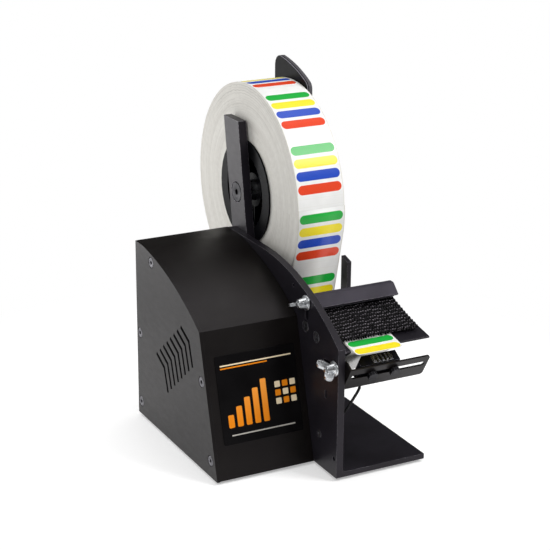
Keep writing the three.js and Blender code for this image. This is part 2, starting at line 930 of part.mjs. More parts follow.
function coreHub() {
  const bore = axleRadius + gap;
  const outer = coreBoreRadius - gap;
  const inner = outer - hubWall;
  const end = reelLeft + hubLength;
  const webRight = end - hubWebDepth;
  const webLeft = webRight - hubWebThickness;
  const bossLeft = reelLeft + hubBossRecess;
  const bossEnd = end - hubBossSetback;
  const flangeEnd = reelLeft + hubFlangeThickness;
  const body = turnedX(
    [
      [bore, bossLeft], [hubBossRadius, bossLeft], [hubBossRadius, webLeft], [inner, webLeft],
      [inner, reelLeft], [hubFlangeRadius, reelLeft], [hubFlangeRadius, flangeEnd],
      [outer, flangeEnd], [outer, end], [inner, end], [inner, webRight],
      [hubBossRadius, webRight], [hubBossRadius, bossEnd], [bore, bossEnd], [bore, bossLeft],
    ],
    reelY, reelZ, hubSteps,
  );
  const ribs = Array.from({ length: hubRibCount }, (_, i) =>
    block(
      reelLeft + hubRibRecess, webLeft + weld,
      hubBossRadius - weld, inner + weld,
      -hubRibThickness / 2, hubRibThickness / 2,
    )
      .rotateX(radians(hubRibTurn) + (i / hubRibCount) * 2 * Math.PI)
      .translate(0, reelY, reelZ));
  return join(body, ...ribs);
}

function labelRoll() {
  const bore = coreBoreRadius + coreWall + gap;
  return tubeX(bore, rollRadius, rollLeft, rollRight, reelY, reelZ, rollSteps);
}

// Outer guide arm and its lobed hand knob
const guideLeft = rollRight + guideArmPlay;
const guideRight = guideLeft + guideArmThickness;
const knobRight = guideRight + gap + knobLength;

function guideOutline() {
  const middle = point(reelY + guideArmOffset, reelZ);
  const rear = middle.x + guideArmHalfWidth;
  const front = middle.x - guideArmHalfWidth;
  const top = reelZ + guideArmTop;
  const corner = point(rear - guideArmCorner, top - guideArmCorner);
  const crown = point(corner.x, top);
  const shoulder = point(front + guideShoulderRun, reelZ + guideShoulderRise);
  const side = point(front, shoulder.y - guideShoulderFall);
  const over = arcCentre(shoulder, crown, guideTopRadius);
  const turn = arcCentre(side, shoulder, guideShoulderRadius);
  const overTo = angleFrom(over, shoulder);
  const turnTo = Math.PI + Math.atan2(turn.y - side.y, turn.x - side.x);
  return [
    ...arc(middle, guideArmHalfWidth, Math.PI, 2 * Math.PI, coarseSteps),
    ...arc(corner, guideArmCorner, 0, Math.PI / 2, cornerSteps),
    ...arc(over, guideTopRadius, angleFrom(over, crown), overTo, coarseSteps).slice(1),
    ...arc(turn, guideShoulderRadius, angleFrom(turn, shoulder), turnTo, cornerSteps).slice(1),
  ];
}

function outerGuide() {
  const bore = axleRadius + gap;
  return cut(
    prismX(guideOutline(), guideLeft, guideRight),
    rodX(bore, guideLeft - overrun, guideRight + overrun, reelY, reelZ),
  );
}

function guideKnob() {
  const left = guideRight + gap;
  const steps = knobLobes * 8;
  const lobed = Array.from({ length: steps }, (_, i) => {
    const turn = (i / steps) * 2 * Math.PI;
    const dip = (knobLobeDepth * (1 - Math.cos(turn * knobLobes))) / 2;
    return polar(point(reelY, reelZ), knobRadius - dip, turn);
  });
  return cut(
    join(
      rodX(knobHubRadius, left, left + knobHubLength + weld, reelY, reelZ),
      prismX(lobed, left + knobHubLength, knobRight),
    ),
    rodX(axleRadius + gap, left - overrun, knobRight + overrun, reelY, reelZ),
  );
}

// Wing nut on a bolt that comes out of the plate's left face, its ears turned by an angle
function wingNut(y, z, angle) {
  const bore = boltRadius + gap;
  const hub = turnedZ(
    [[bore, 0], [wingFlangeRadius, 0], [wingFlangeRadius, wingFlangeThickness],
      [wingHubRadius, wingFlangeThickness], [wingHubTopRadius, wingHubHeight],
      [bore, wingHubHeight], [bore, 0]],
    0, 0, smallSteps,
  );
  const tip = wingSpan / 2 - wingEarRadius;
  const tipHeight = wingHeight - wingEarRadius;
  const half = wingThickness / 2;
  const sides = [-1, 1];
  const ear = (side, radius, y0, y1, share) => {
    const from = point(side * tip * share, wingRootHeight + (tipHeight - wingRootHeight) * share);
    return prismY(slotOutline(from, point(side * tip, tipHeight), radius), y0, y1);
  };
  const recess = wingEarRadius - wingRecessRim;
  const solid = join(hub, ...sides.map((side) => ear(side, wingEarRadius, -half, half, 1 / 3)));
  const dents = sides.flatMap((side) => [
    ear(side, recess, -half - overrun, wingRecess - half, 2 / 3),
    ear(side, recess, half - wingRecess, half + overrun, 2 / 3),
  ]);
  const nut = cut(solid, rodZUp(bore, -overrun, wingHeight + overrun, 0, 0), ...dents);
  const turn = radians(angle);
  const across = new THREE.Vector3(0, Math.cos(turn), Math.sin(turn));
  const out = alongX.clone().negate();
  const basis = new THREE.Matrix4().makeBasis(across, out.clone().cross(across), out);
  return nut.applyMatrix4(basis).translate(plateLeft - gap, y, z);
}

// Brush hood and its stud
const hoodRight = gap + hoodLength;
const boltLeft = plateLeft - gap - boltTail;

function hoodOutline() {
  const rear = hoodBoltY + hoodBackReach;
  const front = hoodBoltY - hoodFrontReach;
  const top = hoodBoltZ + hoodRise;
  const bottom = hoodBoltZ - hoodDrop;
  const brow = point(hoodBoltY - hoodBrowSetback, top - hoodBrowRadius);
  const turn = Math.PI / 2 + radians(hoodBrowTurn);
  const run = point(-Math.sin(turn), Math.cos(turn));
  const corner = polar(brow, hoodBrowRadius, turn);
  const lip = corner.clone().addScaledVector(run, hoodBrowLength);
  const under = lip.clone().add(point(-run.y, run.x).multiplyScalar(hoodBrowThickness));
  const rise = ((front - under.x) * run.y) / run.x;
  return [
    point(rear, bottom),
    ...arc(point(rear - hoodCorner, top - hoodCorner), hoodCorner, 0, Math.PI / 2, cornerSteps),
    ...arc(brow, hoodBrowRadius, Math.PI / 2, turn, cornerSteps),
    lip,
    under,
    point(front, under.y + rise),
    point(front, bottom),
  ];
}

function brushHood() {
  const bore = boltRadius + gap;
  return cut(
    prismX(hoodOutline(), gap, hoodRight),
    rodX(bore, -overrun, gap + hoodBoltReach + gap, hoodBoltY, hoodBoltZ, smallSteps),
  );
}

function hoodBolt() {
  return rodX(boltRadius, boltLeft, gap + hoodBoltReach, hoodBoltY, hoodBoltZ, smallSteps);
}

// Brush strips: each strand is a thin three sided prism that bends over two knees. The low curve and
// the high curve are lists of (Y, Z) stations, and a layer lies between them by its share.
const brushBottom = hoodBoltZ - hoodDrop - gap;

// Stations of one strand: its root in the backing, then the shares of the two curves
function strandStations(root, layer, column) {
  const share = layer / (brushLayers - 1);
  const length = Math.sin(column * 1.3 + layer * 2.9) * brushTipSpread;
  const free = brushLow.map(([y, z], i) => {
    const [highY, highZ] = brushHigh[i];
    const cut = i === brushLow.length - 1 ? length : 0;
    return point(y + (highY - y) * share - cut, z + (highZ - z) * share);
  });
  return [root, ...free];
}

// Three sided prism along the stations, drifting a little to one side on its way
function addStrand(positions, index, stations, x, drift) {
  const base = positions.length / 3;
  const last = stations.length - 1;
  stations.forEach((place, i) => {
    const cx = x + (drift * i) / last;
    for (let corner = 0; corner < 3; corner += 1) {
      const turn = Math.PI / 2 + (corner * 2 * Math.PI) / 3;
      const out = polar(point(cx, place.y), brushStrandRadius, turn);
      positions.push(out.x, place.x, out.y);
    }
  });
  for (let ring = 0; ring < last; ring += 1) {
    for (let side = 0; side < 3; side += 1) {
      const a = base + ring * 3 + side;
      const b = base + ring * 3 + ((side + 1) % 3);
      index.push(a, b, b + 3, a, b + 3, a + 3);
    }
  }
  const end = base + last * 3;
  index.push(base, base + 2, base + 1, end, end + 1, end + 2);
}

function strandSet(layers, rootY, rootZ) {
  const positions = [];
  const index = [];
  const pitch = (hoodLength - 4 * brushInset) / brushColumns;
  layers.forEach((layer, i) => {
    const level = i - (layers.length - 1) / 2;
    const root = point(rootY, rootZ + level * brushLayerRise);
    for (let column = 0; column < brushColumns; column += 1) {
      const shift = layer % 2 ? 3 / 4 : 1 / 4;
      const x = gap + 2 * brushInset + (column + shift) * pitch;
      const drift = Math.sin(column * 2.4 + layer * 1.7) * brushWander;
      addStrand(positions, index, strandStations(root, layer, column), x, drift);
    }
  });
  const geometry = new THREE.BufferGeometry();
  geometry.setAttribute("position", new THREE.Float32BufferAttribute(positions, 3));
  geometry.setIndex(index);
  return geometry;
}

function brushStrip(level, layers) {
  const top = brushBottom - level * (brushBackingHeight + gap);
  const setback = level * brushLowerSetback;
  const front = hoodBoltY - hoodFrontReach + brushBackingInset + setback;
  const backing = block(
    gap + brushInset, hoodRight - brushInset,
    front, front + brushBackingDepth - setback,
    top - brushBackingHeight, top,
  );
  return join(backing, strandSet(layers, brushRootY + setback, top - brushBackingHeight / 2));
}

// Peel plate: a sheet with a round nose, a rolled rear edge and an ear for its two screws
const peelFront = point(peelFrontY, peelFrontZ);
const peelRun = (peelRearY - peelFrontY) / Math.cos(peelAngle);
const peelBack = polar(peelFront, peelRun, peelAngle);
const peelBendCentre = polar(peelBack, peelBendRadius, peelAngle - Math.PI / 2);
const peelNose = polar(peelFront, peelThickness / 2, peelAngle - Math.PI / 2);

function peelPlate() {
  const start = peelAngle + Math.PI / 2;
  const path = [
    peelFront,
    ...arc(peelBendCentre, peelBendRadius, start, start - radians(peelBendTurn), cornerSteps),
  ];
  const nose = arc(peelNose, peelThickness / 2, start + Math.PI, start, coarseSteps).slice(1, -1);
  const outline = [...strip(path, 0, -peelThickness), ...nose];
  const ear = [
    point(peelEarFront, peelTopAt(peelEarFront) - peelThickness / 2),
    point(peelEarFront, peelTopAt(peelEarFront) - peelEarDepth),
    point(peelEarRear, peelTopAt(peelEarRear) - peelEarDepth),
    point(peelEarRear, peelTopAt(peelEarRear) - peelThickness / 2),
  ];
  const holes = peelScrewPlaces.map(({ y, z }) =>
    rodX(screwShankRadius + gap, 0, gap + peelEarThickness + overrun, y, z, smallSteps));
  return cut(
    join(prismX(outline, gap, peelRight), prismX(ear, gap, gap + peelEarThickness)),
    ...holes,
  );
}

// Guide rod, edge guide and its thumb screw
function guideRod() {
  return cut(
    rodX(rodRadius, gap, rodEnd, rodY, rodZ),
    rodX(rodScrewRadius + gap, 0, gap + rodScrewReach + gap, rodY, rodZ, smallSteps),
  );
}

function edgeGuide() {
  const half = edgeGuideWidth / 2;
  const right = edgeGuideX + edgeGuideThickness;
  const neck = Math.acos(half / edgeGuideEyeRadius);
  const outline = [
    ...arc(point(rodY, rodZ), edgeGuideEyeRadius, Math.PI - neck, 2 * Math.PI + neck, roundSteps),
    point(rodY + half, edgeGuideTop),
    point(rodY - half, edgeGuideTop - edgeGuideTopFall),
  ];
  const collarEnd = right + edgeGuideCollarLength;
  const screwX = right + gap + edgeScrewHeadRadius + gap;
  const screwBottom = rodZ + rodRadius;
  return cut(
    join(
      prismX(outline, edgeGuideX, right),
      rodX(edgeGuideCollarRadius, right - weld, collarEnd, rodY, rodZ),
    ),
    rodX(rodRadius + gap, edgeGuideX - overrun, collarEnd + overrun, rodY, rodZ),
    rodZUp(edgeScrewRadius + gap, screwBottom - overrun, rodZ + edgeGuideCollarRadius + overrun, screwX, rodY),
  );
}

function edgeGuideScrew() {
  const x = edgeGuideX + edgeGuideThickness + gap + edgeScrewHeadRadius + gap;
  const tip = rodZ + rodRadius + gap;
  const seat = rodZ + edgeGuideCollarRadius + gap;
  const top = seat + edgeScrewHeadHeight;
  return turnedZ(
    [[0, tip], [edgeScrewRadius, tip], [edgeScrewRadius, seat], [edgeScrewHeadRadius, seat],
      [edgeScrewHeadRadius, top], [0, top]],
    x, rodY, smallSteps,
  );
}

// Sensor bar, in a frame whose Y runs up the bar and whose Z points to the front of the machine
const sensorTilt = radians(sensorBarTilt);
const sensorUp = new THREE.Vector3(0, -Math.sin(sensorTilt), Math.cos(sensorTilt));
const sensorFrame = new THREE.Matrix4()
  .makeBasis(alongX, sensorUp, alongX.clone().cross(sensorUp))
  .setPosition(0, sensorBarFootY, sensorBarFootZ);
const tilted = (geometry) => geometry.applyMatrix4(sensorFrame);
const sensorFront = -sensorBarThickness - gap;

function sensorBar() {
  const right = sensorBarEnd - sensorBarCorner;
  const top = sensorBarWidth - sensorBarCorner;
  const outline = [
    point(gap, 0),
    ...arc(point(right, sensorBarCorner), sensorBarCorner, -Math.PI / 2, 0, cornerSteps),
    ...arc(point(right, top), sensorBarCorner, 0, Math.PI / 2, cornerSteps),
    point(gap, sensorBarWidth),
  ];
  const slotRadius = sensorSlotWidth / 2;
  const slot = slotOutline(
    point(sensorSlotStart + slotRadius, sensorSlotHeight),
    point(sensorSlotEnd - slotRadius, sensorSlotHeight),
    slotRadius,
  );
  const bar = tilted(prismZ(outline, -sensorBarThickness, 0, [slot]));
  const head = polar(
    point(sensorBarFootY, sensorBarFootZ), sensorBarWidth, Math.PI / 2 + sensorTilt,
  );
  const corner = point(sensorEarRear - sensorEarCorner, sensorEarTop - sensorEarCorner);
  const ear = [
    point(sensorBarFootY, sensorBarFootZ),
    point(sensorEarRear, barBoltZ - barEarDrop),
    ...arc(corner, sensorEarCorner, 0, Math.PI / 2, cornerSteps),
    point(head.x + barEarNose, sensorEarTop),
    head,
  ];
  return cut(
    join(bar, prismX(ear, gap, gap + sensorBarThickness)),
    rodX(boltRadius + slotClearance, -overrun, overrun + overrun, barBoltY, barBoltZ, smallSteps),
  );
}

function barBolt() {
  const seat = gap + sensorBarThickness + gap;
  const end = seat + boltHeadThickness;
  return turnedX(
    [[0, boltLeft], [boltRadius, boltLeft], [boltRadius, seat], [boltHeadRadius, seat],
      [boltHeadRadius, end], [0, end]],
    barBoltY, barBoltZ, smallSteps,
  );
}

// Sensor block behind the bar, with its window, its gland and its two clamp screws
function sensorBlock() {
  const back = sensorFront - sensorDepth;
  const top = sensorBarWidth + sensorProud;
  const outline = [
    point(sensorLeft, sensorFront),
    point(sensorLeft, back + sensorCorner),
    point(sensorLeft + sensorCorner, back),
    point(sensorRight, back),
    point(sensorRight, sensorFront),
  ];
  const body = prismY(outline, top - sensorBodyDrop, top);
  const pocket = block(
    windowLeft, windowRight,
    top - windowDepth, top + overrun,
    back + windowInset, sensorFront - windowInset,
  );
  const screws = sensorScrewX.map((x) =>
    rodZUp(sensorScrewRadius + gap, sensorFront - sensorScrewReach - gap, overrun, x, sensorSlotHeight));
  const gland = rodZUp(glandRadius, glandBottom, glandTop, glandX, glandY);
  return join(tilted(cut(body, pocket, ...screws)), gland);
}

function sensorWindow() {
  const top = sensorBarWidth + sensorProud;
  const near = sensorFront - windowInset - gap;
  const far = sensorFront - sensorDepth + windowInset + gap;
  const left = windowLeft + gap;
  const right = windowRight - gap;
  const glass = block(left, right, top - windowDepth + gap, top - gap, far, near);
  const pitch = (right - left) / windowRibs;
  const ribs = Array.from({ length: windowRibs }, (_, i) => {
    const middle = left + (i + 1 / 2) * pitch;
    const half = windowRibWidth / 2;
    return block(middle - half, middle + half, top - gap - weld, top + windowRibHeight, far + weld, near - weld);
  });
  return tilted(join(glass, ...ribs));
}

function sensorScrew(x) {
  const steps = knurlCount * 2;
  const head = Array.from({ length: steps }, (_, i) =>
    polar(
      point(x, sensorSlotHeight),
      sensorScrewHeadRadius - (i % 2) * knurlDepth,
      (i / steps) * 2 * Math.PI,
    ));
  return tilted(
    join(
      prismZ(head, gap, gap + sensorScrewHeadThickness),
      rodZUp(sensorScrewRadius, sensorFront - sensorScrewReach, gap + weld, x, sensorSlotHeight),
    ),
  );
}

function sensorCable() {
  const route = cableRoute.map(([x, y, z]) => new THREE.Vector3(x, y, z));
  const path = new THREE.CatmullRomCurve3(route, false, "centripetal");
  const shape = new THREE.Shape(circle(point(0, 0), cableRadius, cableSides));
  return new THREE.ExtrudeGeometry(shape, { extrudePath: path, steps: cableSteps, bevelEnabled: false });
}

function cableGrommet() {
  const seat = gap + grommetFlangeThickness;
  return turnedX(
    [[grommetBore, plateLeft], [grommetRadius, plateLeft], [grommetRadius, gap],
      [grommetFlange, gap], [grommetFlange, seat], [grommetBore, seat], [grommetBore, plateLeft]],
    grommetY, grommetZ, smallSteps,
  );
}

// Liner drive: bearing, shaft with its core, rubber sleeve, idle pinch roller and gearmotor
function driveBearing() {
  const bore = driveShaftRadius + gap;
  const seat = gap + bearingFlangeThickness;
  return turnedX(
    [[bore, plateLeft], [bearingRadius, plateLeft], [bearingRadius, gap], [bearingFlange, gap],
      [bearingFlange, seat], [bore, seat], [bore, plateLeft]],
    driveY, driveZ, smallSteps,
  );
}

function driveShaft() {
  const left = plateLeft - gap - driveShaftReach;
  const core = driveRadius - driveRubber;
  return turnedX(
    [[0, left], [driveShaftRadius, left], [driveShaftRadius, driveLeft], [core, driveLeft],
      [core, driveRight], [0, driveRight]],
    driveY, driveZ, smallSteps,
  );
}

function driveRoller() {
  const bore = driveRadius - driveRubber + gap;
  return tubeX(bore, driveRadius, driveLeft, driveRight, driveY, driveZ);
}

function pinchShaft() {
  const { x: y, y: z } = pinchCentre;
  const face = plateLeft - gap;
  return turnedX(
    [[0, face - pinchHeadThickness], [pinchCollarRadius, face - pinchHeadThickness],
      [pinchCollarRadius, face], [pinchStudRadius, face], [pinchStudRadius, gap],
      [pinchCollarRadius, gap], [pinchCollarRadius, driveLeft - gap], [driveShaftRadius, driveLeft - gap],
      [driveShaftRadius, driveRight + gap], [pinchCollarRadius, driveRight + gap],
      [pinchCollarRadius, driveRight + gap + pinchCollarThickness],
      [0, driveRight + gap + pinchCollarThickness]],
    y, z, smallSteps,
  );
}

function pinchRoller() {
  return tubeX(
    driveShaftRadius + gap, pinchRadius, driveLeft, driveRight,
    pinchCentre.x, pinchCentre.y, smallSteps,
  );
}

function gearmotor() {
  const face = plateLeft - gap;
  const centre = polar(point(driveY, driveZ), motorOffset, radians(motorOffsetAngle));
  const boxLeft = face - gearboxLength;
  const canLeft = boxLeft - motorLength;
  const body = turnedX(
    [[0, canLeft - motorCapLength], [motorCapRadius, canLeft - motorCapLength],
      [motorCapRadius, canLeft], [motorRadius, canLeft], [motorRadius, boxLeft],
      [gearboxRadius, boxLeft], [gearboxRadius, face], [0, face]],
    centre.x, centre.y,
  );
  return cut(
    body,
    rodX(driveShaftRadius + gap, face - driveShaftReach - gap, face + overrun, driveY, driveZ, smallSteps),
  );
}

// Circuit board on stand-offs, power jack and rocker switch at the rear
function circuitBoard() {
  const bottom = basePanelTop + gap;
  const under = basePanelTop + boardStandoff;
  const top = under + boardThickness;
  const xs = [boardLeft + boardStandoffInset, boardRight - boardStandoffInset];
  const ys = [boardFront + boardStandoffInset, boardRear - boardStandoffInset];
  const legs = xs.flatMap((x) => ys.map((y) => rodZUp(boardStandoffRadius, bottom, under + weld, x, y)));
  const parts = boardPartShares.map((share) => {
    const [x, y] = [boardLeft + share.x * boardWidth, boardFront + share.y * boardDepth];
    const [wide, deep] = [(share.width * boardWidth) / 2, (share.depth * boardDepth) / 2];
    const end = top + share.height * boardPartHeight;
    return block(x - wide, x + wide, y - deep, y + deep, top - weld, end);
  });
  return join(block(boardLeft, boardRight, boardFront, boardRear, under, top), ...legs, ...parts);
}

function powerJack() {
  const seat = rearPanelY + gap;
  const end = seat + jackFlangeThickness;
  const front = rearPanelY - jackDepth;
  const outline = [
    [0, front], [jackRadius, front], [jackRadius, seat], [jackFlangeRadius, seat],
    [jackFlangeRadius, end], [jackBore, end], [jackBore, end - jackBoreDepth],
    [jackPin, end - jackBoreDepth], [jackPin, end - jackPin], [0, end - jackPin],
  ].map(([radius, place]) => point(radius, place));
  return new THREE.LatheGeometry(outline, smallSteps).translate(jackX, 0, jackZ);
}

function switchBezel() {
  const wide = bezelWidth / 2;
  const tall = bezelHeight / 2;
  const seat = rearPanelY + gap;
  const end = seat + bezelProud;
  const flange = block(
    switchX - wide - bezelFlange, switchX + wide + bezelFlange, seat, end,
    switchZ - tall - bezelFlange, switchZ + tall + bezelFlange,
  );
  const body = block(
    switchX - wide, switchX + wide, rearPanelY - bezelDepth, seat + weld,
    switchZ - tall, switchZ + tall,
  );
  const opening = block(
    switchX - wide + bezelWall, switchX + wide - bezelWall,
    rearPanelY - bezelDepth - overrun, end + overrun,
    switchZ - tall + bezelWall, switchZ + tall - bezelWall,
  );
  return cut(join(flange, body), opening);
}

function switchRocker() {
  const radius = bezelHeight / 2 - bezelWall - gap;
  const centre = point(rearPanelY - rockerInset, switchZ);
  const outer = Math.acos((rockerProud + rockerInset) / radius);
  const inner = Math.acos(rockerDepth / radius);
  const wide = bezelWidth / 2 - bezelWall - gap;
  const outline = [
    ...arc(point(0, 0), radius, outer, Math.PI - inner, cornerSteps),
    ...arc(point(0, 0), radius, Math.PI + inner, 2 * Math.PI - outer, cornerSteps),
  ];
  return prismX(outline, -wide, wide)
    .rotateX(radians(rockerTilt))
    .translate(switchX, centre.x, centre.y);
}

// Label web: one strip that leaves the roll, turns round the rod, over the peel plate, round its nose
// and back down to the drive roller. Each stop is a circle with the way that the strip turns on it.
const webStops = [
  { centre: point(reelY, reelZ), radius: rollRadius + webRadiusAdd, way: 1 },
  { centre: point(rodY, rodZ), radius: rodRadius + webRadiusAdd, way: -1 },
  { centre: peelBendCentre, radius: peelBendRadius + webRadiusAdd, way: 1 },
  { centre: peelNose, radius: peelThickness / 2 + webRadiusAdd, way: 1 },
  { centre: point(driveY, driveZ), radius: driveRadius + webRadiusAdd, way: 1 },
];

// Heading of the line that leaves one stop and meets the next
function heading(from, to) {
  const reach = from.centre.distanceTo(to.centre);
  const lean = Math.asin((from.way * from.radius - to.way * to.radius) / reach);
  return angleFrom(from.centre, to.centre) + lean;
}

// Path of the web, and the place on it where each stop's arc begins
function webPath() {
  const runs = webStops.slice(1).map((stop, i) => heading(webStops[i], stop));
  const first = runs[0] - radians(webWrap);
  const last = pinchTurn + Math.PI / 2;
  const path = [];
  const starts = [];
  webStops.forEach((stop, i) => {
    const from = i > 0 ? runs[i - 1] : first;
    const to = i < runs.length ? runs[i] : last;
    const turn = (stop.way * (to - from)) % (2 * Math.PI);
    const sweep = stop.way * (turn < 0 ? turn + 2 * Math.PI : turn);
    const start = from - (stop.way * Math.PI) / 2;
    const steps = Math.max(2, Math.ceil(Math.abs(sweep) / radians(webStepAngle)));
    starts.push(path.length);
    path.push(...arc(stop.centre, stop.radius, start, start + sweep, steps));
  });
  path.push(polar(path[path.length - 1], webExit, last));
  return { path, starts };
}

// The web leaves the roll in line with it, and has moved to the left where it meets the peel plate
function labelWeb() {
  const { path, starts } = webPath();
  const [, rodStart, plateStart] = starts;
  const lengths = path.map((_, i) =>
    path.slice(1, i + 1).reduce((sum, p, j) => sum + p.distanceTo(path[j]), 0));
  const geometry = prismX(strip(path, webThickness / 2, -webThickness / 2), rollLeft, rollRight);
  const place = geometry.attributes.position;
  for (let i = 0; i < place.count; i += 1) {
    const here = point(place.getY(i), place.getZ(i));
    const far = path.map((p) => p.distanceTo(here));
    const length = lengths[far.indexOf(Math.min(...far))];
    const share = (length - lengths[rodStart - 1]) / (lengths[plateStart] - lengths[rodStart - 1]);
    place.setX(i, place.getX(i) - webShift * THREE.MathUtils.clamp(share, 0, 1));
  }
  return geometry;
}

// The label that stands out over the nose of the peel plate
function dispensedLabel() {
  const along = new THREE.Vector3(0, Math.cos(peelAngle), Math.sin(peelAngle));
  const turn = new THREE.Matrix4().makeBasis(alongX, along, alongX.clone().cross(along));
  const near = (labelFrontY - peelFrontY) / Math.cos(peelAngle);
  const far = (labelRearY - peelFrontY) / Math.cos(peelAngle);
  const base = gap + webThickness + gap;
  const left = rollLeft - webShift + labelMargin;
  const right = rollRight - webShift - labelMargin;
  const outline = roundedBox(left, right, near, far, labelCorner);
  return prismZ(outline, base, base + labelThickness)
    .applyMatrix4(turn)
    .translate(0, peelFront.x, peelFront.y);
}

function footPad(x, y) {
  return rodZUp(padRadius, 0, padHeight - gap, x, y);
}

// Assembly
add("side_frame", sideFrame(), blackPlate);
add("side_cover", sideCover(), blackSheet);
add("wrap_cover", wrapCover(), blackSheet);
add("rear_panel", rearPanel(), blackSheet);
add("base_panel", basePanel(), blackSheet);
add("front_overlay", frontOverlay(), blackPlastic);
coverScrews.forEach(({ y, z }, i) => {
  add(`cover_screw_${i + 1}`, flatScrew(sidePanelLeft, y, z, coverScrew), blackSteel);
});
const [padRear, padRight] = [frameDepth - padInset, footWidth - padInset];
add("foot_front_left", footPad(sidePanelLeft + padInset, coverToeY + coverToeLip + padInset), blackRubber);
add("foot_front_right", footPad(padRight, padInset), blackRubber);
add("foot_rear_left", footPad(sidePanelLeft + padInset, padRear), blackRubber);
add("foot_rear_right", footPad(padRight, padRear), blackRubber);
add("upright_bar", uprightBar(), blackPlate);
barScrewZ.forEach((z, i) => {
  const reach = plateThickness + gap + gap + barScrewBite;
  add(
    `bar_screw_${i + 1}`,
    panScrew(plateLeft - gap, barMiddleAt(z), z, barScrewHeadRadius, barScrewHeadDepth, barScrewRadius, reach),
    blackSteel,
  );
});
add("hub_screw", flatScrew(barLeft, reelY, reelZ, hubScrew), blackSteel);
add("frame_screw", flatScrew(plateLeft, frameScrewY, frameScrewZ, frameScrew), blackSteel);
add("roll_axle", rollAxle(), brightSteel);
add("core_hub", coreHub(), blackPlastic);
add(
  "paper_core",
  tubeX(coreBoreRadius, coreBoreRadius + coreWall, rollLeft, rollRight, reelY, reelZ, hubSteps),
  kraft,
);
add("label_roll", labelRoll(), paper);
add("outer_guide", outerGuide(), blackPlastic);
add("guide_knob", guideKnob(), blackPlastic);
add("hood_bolt", hoodBolt(), brightSteel);
add("hood_wing_nut", wingNut(hoodBoltY, hoodBoltZ, hoodNutTurn), brightSteel);
add("brush_hood", brushHood(), greyBlack);
add("brush_upper", brushStrip(0, [2, 3, 4]), blackBristle);
add("brush_lower", brushStrip(1, [0, 1]), blackBristle);
add("peel_plate", peelPlate(), blackPlate);
peelScrewPlaces.forEach(({ y, z }, i) => {
  add(`peel_screw_${i + 1}`, flatScrew(plateLeft, y, z, peelScrew), blackSteel);
});
add("guide_rod", guideRod(), blackPlate);
add(
  "guide_rod_screw",
  panScrew(
    plateLeft - gap, rodY, rodZ, rodScrewHeadRadius, rodScrewHeadThickness, rodScrewRadius,
    plateThickness + gap + gap + rodScrewReach,
  ),
  blackSteel,
);
add("edge_guide", edgeGuide(), blackPlate);
add("edge_guide_screw", edgeGuideScrew(), brightSteel);
add("sensor_bar", sensorBar(), blackSheet);
add("bar_bolt", barBolt(), brightSteel);
add("bar_wing_nut", wingNut(barBoltY, barBoltZ, barNutTurn), brightSteel);
add("sensor_block", sensorBlock(), blackPlastic);
add("sensor_window", sensorWindow(), windowGrey);
sensorScrewX.forEach((x, i) => {
  add(`sensor_screw_${i + 1}`, sensorScrew(x), blackSteel);
});
add("sensor_cable", sensorCable(), blackRubber);
add("cable_grommet", cableGrommet(), blackRubber);
add("drive_bearing", driveBearing(), brightSteel);
add("drive_shaft", driveShaft(), brightSteel);
add("drive_roller", driveRoller(), blackRubber);
add("pinch_shaft", pinchShaft(), brightSteel);
add("pinch_roller", pinchRoller(), blackPlastic);
add("gearmotor", gearmotor(), brightSteel);
add("circuit_board", circuitBoard(), boardGreen);
add("power_jack", powerJack(), blackPlastic);
add("switch_bezel", switchBezel(), blackPlastic);
add("switch_rocker", switchRocker(), blackPlastic);
add("label_web", labelWeb(), paper);
add("dispensed_label", dispensedLabel(), paper);

// The origin is put under the middle of the machine, on the desk
const bounds = new THREE.Box3().setFromObject(machine);
const middle = bounds.getCenter(new THREE.Vector3());
machine.position.set(-middle.x, -middle.y, -bounds.min.z);

const labelDispenser = new THREE.Group();
labelDispenser.name = "label_dispenser";
labelDispenser.add(machine);
labelDispenser.updateMatrixWorld(true);

export default labelDispenser;
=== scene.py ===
"""Looks of the desk label dispenser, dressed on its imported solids.

Sizes in the classes are millimetres in the maker's working frame: X is zero on the right face of the side
plate, Y on its front edge and Z on the desk. Meshes are written in metres in the row's frame.
"""
import json
import logging
import math
import random
from dataclasses import dataclass
from enum import Enum
from typing import Callable, Dict, Iterable, Iterator, List, Optional, Sequence, Tuple

import bmesh
import bpy
from mathutils import Matrix, Vector

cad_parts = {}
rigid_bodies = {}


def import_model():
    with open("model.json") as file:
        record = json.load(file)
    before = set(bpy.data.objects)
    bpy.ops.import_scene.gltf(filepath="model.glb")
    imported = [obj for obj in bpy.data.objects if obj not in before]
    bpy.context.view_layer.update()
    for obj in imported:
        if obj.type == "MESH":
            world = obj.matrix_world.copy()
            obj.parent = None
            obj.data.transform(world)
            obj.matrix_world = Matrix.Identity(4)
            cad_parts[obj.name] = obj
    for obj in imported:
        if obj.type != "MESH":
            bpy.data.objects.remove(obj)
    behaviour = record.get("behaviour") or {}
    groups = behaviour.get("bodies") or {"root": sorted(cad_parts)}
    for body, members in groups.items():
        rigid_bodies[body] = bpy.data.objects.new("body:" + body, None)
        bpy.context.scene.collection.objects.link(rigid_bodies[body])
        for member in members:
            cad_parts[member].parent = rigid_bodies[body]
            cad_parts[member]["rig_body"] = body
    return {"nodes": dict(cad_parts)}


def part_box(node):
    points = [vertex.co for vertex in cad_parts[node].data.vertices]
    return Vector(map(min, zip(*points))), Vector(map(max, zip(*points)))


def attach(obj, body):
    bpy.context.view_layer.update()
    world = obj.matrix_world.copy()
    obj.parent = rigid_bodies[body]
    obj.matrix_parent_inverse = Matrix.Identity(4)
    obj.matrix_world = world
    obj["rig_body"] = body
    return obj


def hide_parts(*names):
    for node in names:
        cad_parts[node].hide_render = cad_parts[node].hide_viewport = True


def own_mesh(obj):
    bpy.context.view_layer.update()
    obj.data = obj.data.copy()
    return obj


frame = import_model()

Triple = Tuple[float, float, float]
Colour = Triple
Pair = Tuple[float, float]

LOG = logging.getLogger("label_dispenser")
FULL_TURN = 2 * math.pi
BLACK: Colour = (0.0, 0.0, 0.0)

